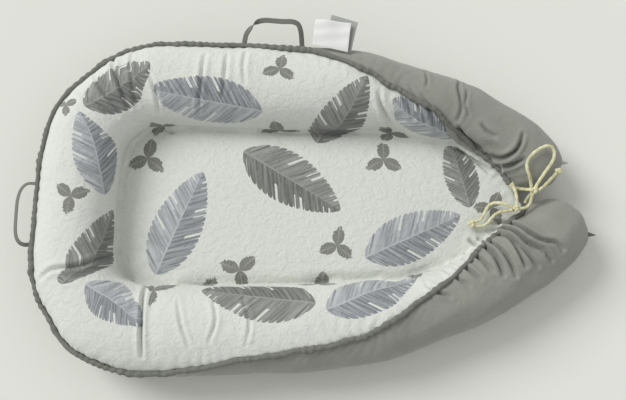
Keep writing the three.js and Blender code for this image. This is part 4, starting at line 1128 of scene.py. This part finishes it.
# Polyester webbing: close ribs across the strap, with painted shade where the threads dip
webbing, tree, shader, coords = new_material("woven_polyester_webbing", 0.7)
strap_map = add(tree, "UVMap", uv_map="webbing")
ribs = add(tree, "TexWave", {"Vector": strap_map.outputs["UV"], "Scale": BAND / RIB_SPACING,
                             "Distortion": 0.3}, bands_direction="X")
rib_painted_shade = add(tree, "Mix", {0: ribs.outputs["Fac"], FIRST: colour(WEBBING_PAINTED_SHADE), SECOND: colour(WEBBING_GREY)},
             data_type="RGBA")
rib_bump = add(tree, "Bump", {"Height": ribs.outputs["Fac"], "Strength": 0.6, "Distance": 0.0004})
tree.links.new(rib_painted_shade.outputs[MIXED], shader.inputs["Base Color"])
tree.links.new(rib_bump.outputs["Normal"], shader.inputs["Normal"])
shader.inputs["Sheen Weight"].default_value = 0.2

for name, node, points, lean, half_turns in (
    ("side_handle_strap", "side_handle", SIDE_ROUTE, 0.25, 1),
    ("head_handle_strap", "head_handle", HEAD_ROUTE, 0.9, 0),
):
    route, _ = smooth_route([MM * Vector(p) for p in points], WEBBING_STEP)

    def strap_section(i, turn):
        """The flat section of the strap in hand, turned as it is at that place."""
        at = i / (len(route) - 1)
        twist = lean + math.pi * half_turns / (1 + math.exp(-(at - TURNED_AT) / TURN_SPAN))
        wide = WEBBING_WIDTH / 2 * math.copysign(abs(math.cos(turn)) ** WIDE_POWER, math.cos(turn))
        thick = WEBBING_WALL / 2 * math.copysign(abs(math.sin(turn)) ** THICK_POWER, math.sin(turn))
        across = wide * math.cos(twist) - thick * math.sin(twist)
        return across, wide * math.sin(twist) + thick * math.cos(twist)

    strap_mesh = swept(frames_along(route), WEBBING_SIDES, strap_section)
    mapped = strap_mesh.loops.layers.uv.new("webbing")
    strap_tree = nearest_tree(route)
    for face in strap_mesh.faces:
        for loop in face.loops:
            loop[mapped].uv = (strap_tree.find(loop.vert.co)[1] * WEBBING_STEP / MM, 0)
    strap = shown(name, strap_mesh)
    strap.data.materials.append(webbing)
    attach(strap, node)
    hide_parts(node)


# Two care labels and two small tape tabs: woven satin and tape, cut to size, sewn into the seam and left
# bare. Each is its CAD form with its edges rounded, cut finely and bent.
LABEL_CUTS = 14
TAB_CUTS = 3
LABEL_CURL = 0.0017
LABEL_WAVES = 2.6  # half waves across the front label
LABEL_RIPPLES = 3  # along it
RIPPLE_SHARE = 0.5
LABEL_REACH = 0.012  # by which a label goes on into its seam
LABEL_DROP = 0.0042  # of the back label, under the front one
TAB_REACH = 0.009  # by which a tab goes on into the end of the roll
EDGE_ROUND = 0.00025
LONG_EDGE = 0.004  # what is longer is cut
FLOAT_SPACING = 0.0012
# Painted shade: the colours are darkened between the floats
FLOAT_PAINTED_SHADE = 14  # of 255, by which a colour is darker between the floats


def softened(name, node, cuts, bend):
    """A node's plain form, cut finely with rounded edges and bent by the given shift."""
    mesh = joined(node)
    bmesh.ops.dissolve_limit(mesh, angle_limit=math.radians(2), verts=mesh.verts, edges=mesh.edges)
    bmesh.ops.bevel(mesh, geom=mesh.edges[:], offset=EDGE_ROUND, offset_type="OFFSET", segments=2,
                    profile=0.5, affect="EDGES", material=-1)
    long_edges = [e for e in mesh.edges if e.calc_length() > LONG_EDGE]
    bmesh.ops.subdivide_edges(mesh, edges=long_edges, cuts=cuts, use_grid_fill=True)
    low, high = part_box(node)
    for vert in mesh.verts:
        share = Vector([(v - a) / (b - a) for v, a, b in zip(vert.co, low, high)])
        vert.co += bend(share)
    bmesh.ops.recalc_face_normals(mesh, faces=mesh.faces)
    piece = shown(name, mesh)
    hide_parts(node)
    return piece


def front_bend(share):
    """The front label is waved across and rippled along, and reaches into its seam."""
    lift = (1 - math.cos(LABEL_WAVES * math.pi * share.x)) * share.y
    lift += RIPPLE_SHARE * math.sin(LABEL_RIPPLES * math.pi * share.y) ** 2
    return Vector((0, -LABEL_REACH * (1 - share.y) ** 2, LABEL_CURL * lift))


def back_bend(share):
    """The back label hangs a little lower, under the front one."""
    return Vector((0, -LABEL_REACH * (1 - share.y) ** 2, -LABEL_DROP - LABEL_CURL * share.x * share.y))


def tab_reach(share):
    """A tab stays flat and reaches into the end of the roll."""
    return Vector((-TAB_REACH * (1 - share.x), 0, 0))


# Woven satin: smooth and softly bright, with slanting float threads and painted shade between them. Woven
# tape: the same, but matt
for name, node, body, slot, code, rough in (
    ("care_label_front_leaf", "care_label_front", "care_label", "label_satin", "#e6e7e4", 0.5),
    ("care_label_back_leaf", "care_label_back", "care_label", "label_satin", "#a9aba8", 0.5),
    ("far_tab", "corner_tab_far", "nest", "label_tape", "#b4b5ae", 0.8),
    ("near_tab", "corner_tab_near", "nest", "label_tape", "#5c5d59", 0.8),
):
    is_label = slot == "label_satin"
    bend = {"care_label_front": front_bend, "care_label_back": back_bend}.get(node, tab_reach)
    label = softened(name, node, LABEL_CUTS if is_label else TAB_CUTS, bend)
    cloth, tree, shader, coords = new_material(name + ("_woven_satin" if is_label else "_woven_tape"), rough)
    floats = add(tree, "TexWave", {"Vector": coords.outputs["Object"], "Scale": BAND / FLOAT_SPACING,
                                   "Distortion": 0.5}, bands_direction="DIAGONAL")
    # Painted shade: each colour is darkened between the floats
    shade = tuple(max(0, int(code[i : i + 2], 16) - FLOAT_PAINTED_SHADE) for i in (1, 3, 5))
    satin = add(tree, "Mix", {0: floats.outputs["Fac"], FIRST: colour("#%02x%02x%02x" % shade),
                              SECOND: colour(code)}, data_type="RGBA")
    satin_bump = add(tree, "Bump", {"Height": floats.outputs["Fac"], "Strength": 0.3, "Distance": 0.0003})
    tree.links.new(satin.outputs[MIXED], shader.inputs["Base Color"])
    tree.links.new(satin_bump.outputs["Normal"], shader.inputs["Normal"])
    label.data.materials.append(cloth)
    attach(label, body)


# The zip in the underside: two woven tapes with a nylon coil on each, end stops, a cast slider and its pull.
# The tapes and coils are made here. The stops, the slider and the pull stay as they are in the CAD.
TAPE_CUTS = 40
TAPE_RIB = 0.0012
TOOTH_PITCH = 0.0026
TOOTH_SHARE = 0.62  # of the pitch
TOOTH_BEVEL = 0.28  # of the tooth's sides
ZIP_TAPE_GREY = "#7d7e79"
# The darker grey is painted shade, for the dips between the tape's ribs
ZIP_TAPE_PAINTED_SHADE = "#666762"
ZIP_COIL_GREY = "#62635f"
ZIP_COIL_SHADE = "#575854"
ZIP_METAL = "#8f9193"
ZIP_METAL_SHADE = "#7f8183"

# Woven polyester tape: matt, with close ribs across it and painted shade in the dips between them
zip_tape, tree, shader, coords = new_material("woven_zip_tape", 0.85)
ribs = add(tree, "TexWave", {"Vector": coords.outputs["Object"], "Scale": BAND / TAPE_RIB, "Distortion": 0.4},
           bands_direction="X")
rib_painted_shade = add(tree, "Mix", {0: ribs.outputs["Fac"], FIRST: colour(ZIP_TAPE_PAINTED_SHADE),
                           SECOND: colour(ZIP_TAPE_GREY)}, data_type="RGBA")
rib_bump = add(tree, "Bump", {"Height": ribs.outputs["Fac"], "Strength": 0.5, "Distance": 0.0003})
tree.links.new(rib_painted_shade.outputs[MIXED], shader.inputs["Base Color"])
tree.links.new(rib_bump.outputs["Normal"], shader.inputs["Normal"])

# Moulded nylon coil: smooth, with a dull shine
zip_nylon, tree, shader, coords = new_material("moulded_nylon_coil", 0.45)
grain = add(tree, "TexNoise", {"Vector": coords.outputs["Object"], "Scale": 700.0})
nylon = add(tree, "Mix", {0: grain.outputs["Fac"], FIRST: colour(ZIP_COIL_SHADE),
                          SECOND: colour(ZIP_COIL_GREY)}, data_type="RGBA")
tree.links.new(nylon.outputs[MIXED], shader.inputs["Base Color"])

# Die-cast zinc, tumbled and nickel plated: a soft grey shine with fine scratches
zip_metal, tree, shader, coords = new_material("nickel_plated_zinc", 0.35)
scratches = add(tree, "TexNoise", {"Vector": coords.outputs["Object"], "Scale": 1200.0, "Detail": 4.0})
nickel = add(tree, "Mix", {0: scratches.outputs["Fac"], FIRST: colour(ZIP_METAL_SHADE),
                           SECOND: colour(ZIP_METAL)}, data_type="RGBA")
scratch_bump = add(tree, "Bump", {"Height": scratches.outputs["Fac"], "Strength": 0.2, "Distance": 0.0001})
tree.links.new(nickel.outputs[MIXED], shader.inputs["Base Color"])
tree.links.new(scratch_bump.outputs["Normal"], shader.inputs["Normal"])
shader.inputs["Metallic"].default_value = 1.0

for node in ("zip_tape_near", "zip_tape_far"):
    tape = softened(node + "_woven", node, TAPE_CUTS, lambda share: Vector())
    tape.data.materials.append(zip_tape)
    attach(tape, "nest")
for node in ("zip_teeth_near", "zip_teeth_far"):
    low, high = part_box(node)
    coil = bmesh.new()
    bmesh.ops.create_cube(coil, size=1)
    bmesh.ops.bevel(coil, geom=coil.edges[:], offset=TOOTH_BEVEL, offset_type="OFFSET", segments=1,
                    profile=0.5, affect="EDGES", material=-1)
    bmesh.ops.scale(coil, verts=coil.verts, vec=(TOOTH_PITCH * TOOTH_SHARE, high.y - low.y, high.z - low.z))
    first_tooth = (low.x + TOOTH_PITCH / 2, (low.y + high.y) / 2, (low.z + high.z) / 2)
    bmesh.ops.translate(coil, verts=coil.verts, vec=first_tooth)
    tooth_data = bpy.data.meshes.new("tooth")
    coil.to_mesh(tooth_data)
    count = int((high.x - low.x - TOOTH_PITCH / 2) / TOOTH_PITCH)
    for i in range(1, count):
        before = set(coil.verts)
        coil.from_mesh(tooth_data)
        fresh = [v for v in coil.verts if v not in before]
        bmesh.ops.translate(coil, verts=fresh, vec=(i * TOOTH_PITCH, 0, 0))
    teeth = shown(node + "_coil", coil)
    teeth.data.materials.append(zip_nylon)
    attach(teeth, "nest")
    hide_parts(node)
for node in ("zip_stop_head", "zip_stop_foot", "zip_slider", "zip_pull"):
    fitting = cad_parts[node]
    fitting.data.materials.clear()
    fitting.data.materials.append(zip_metal)
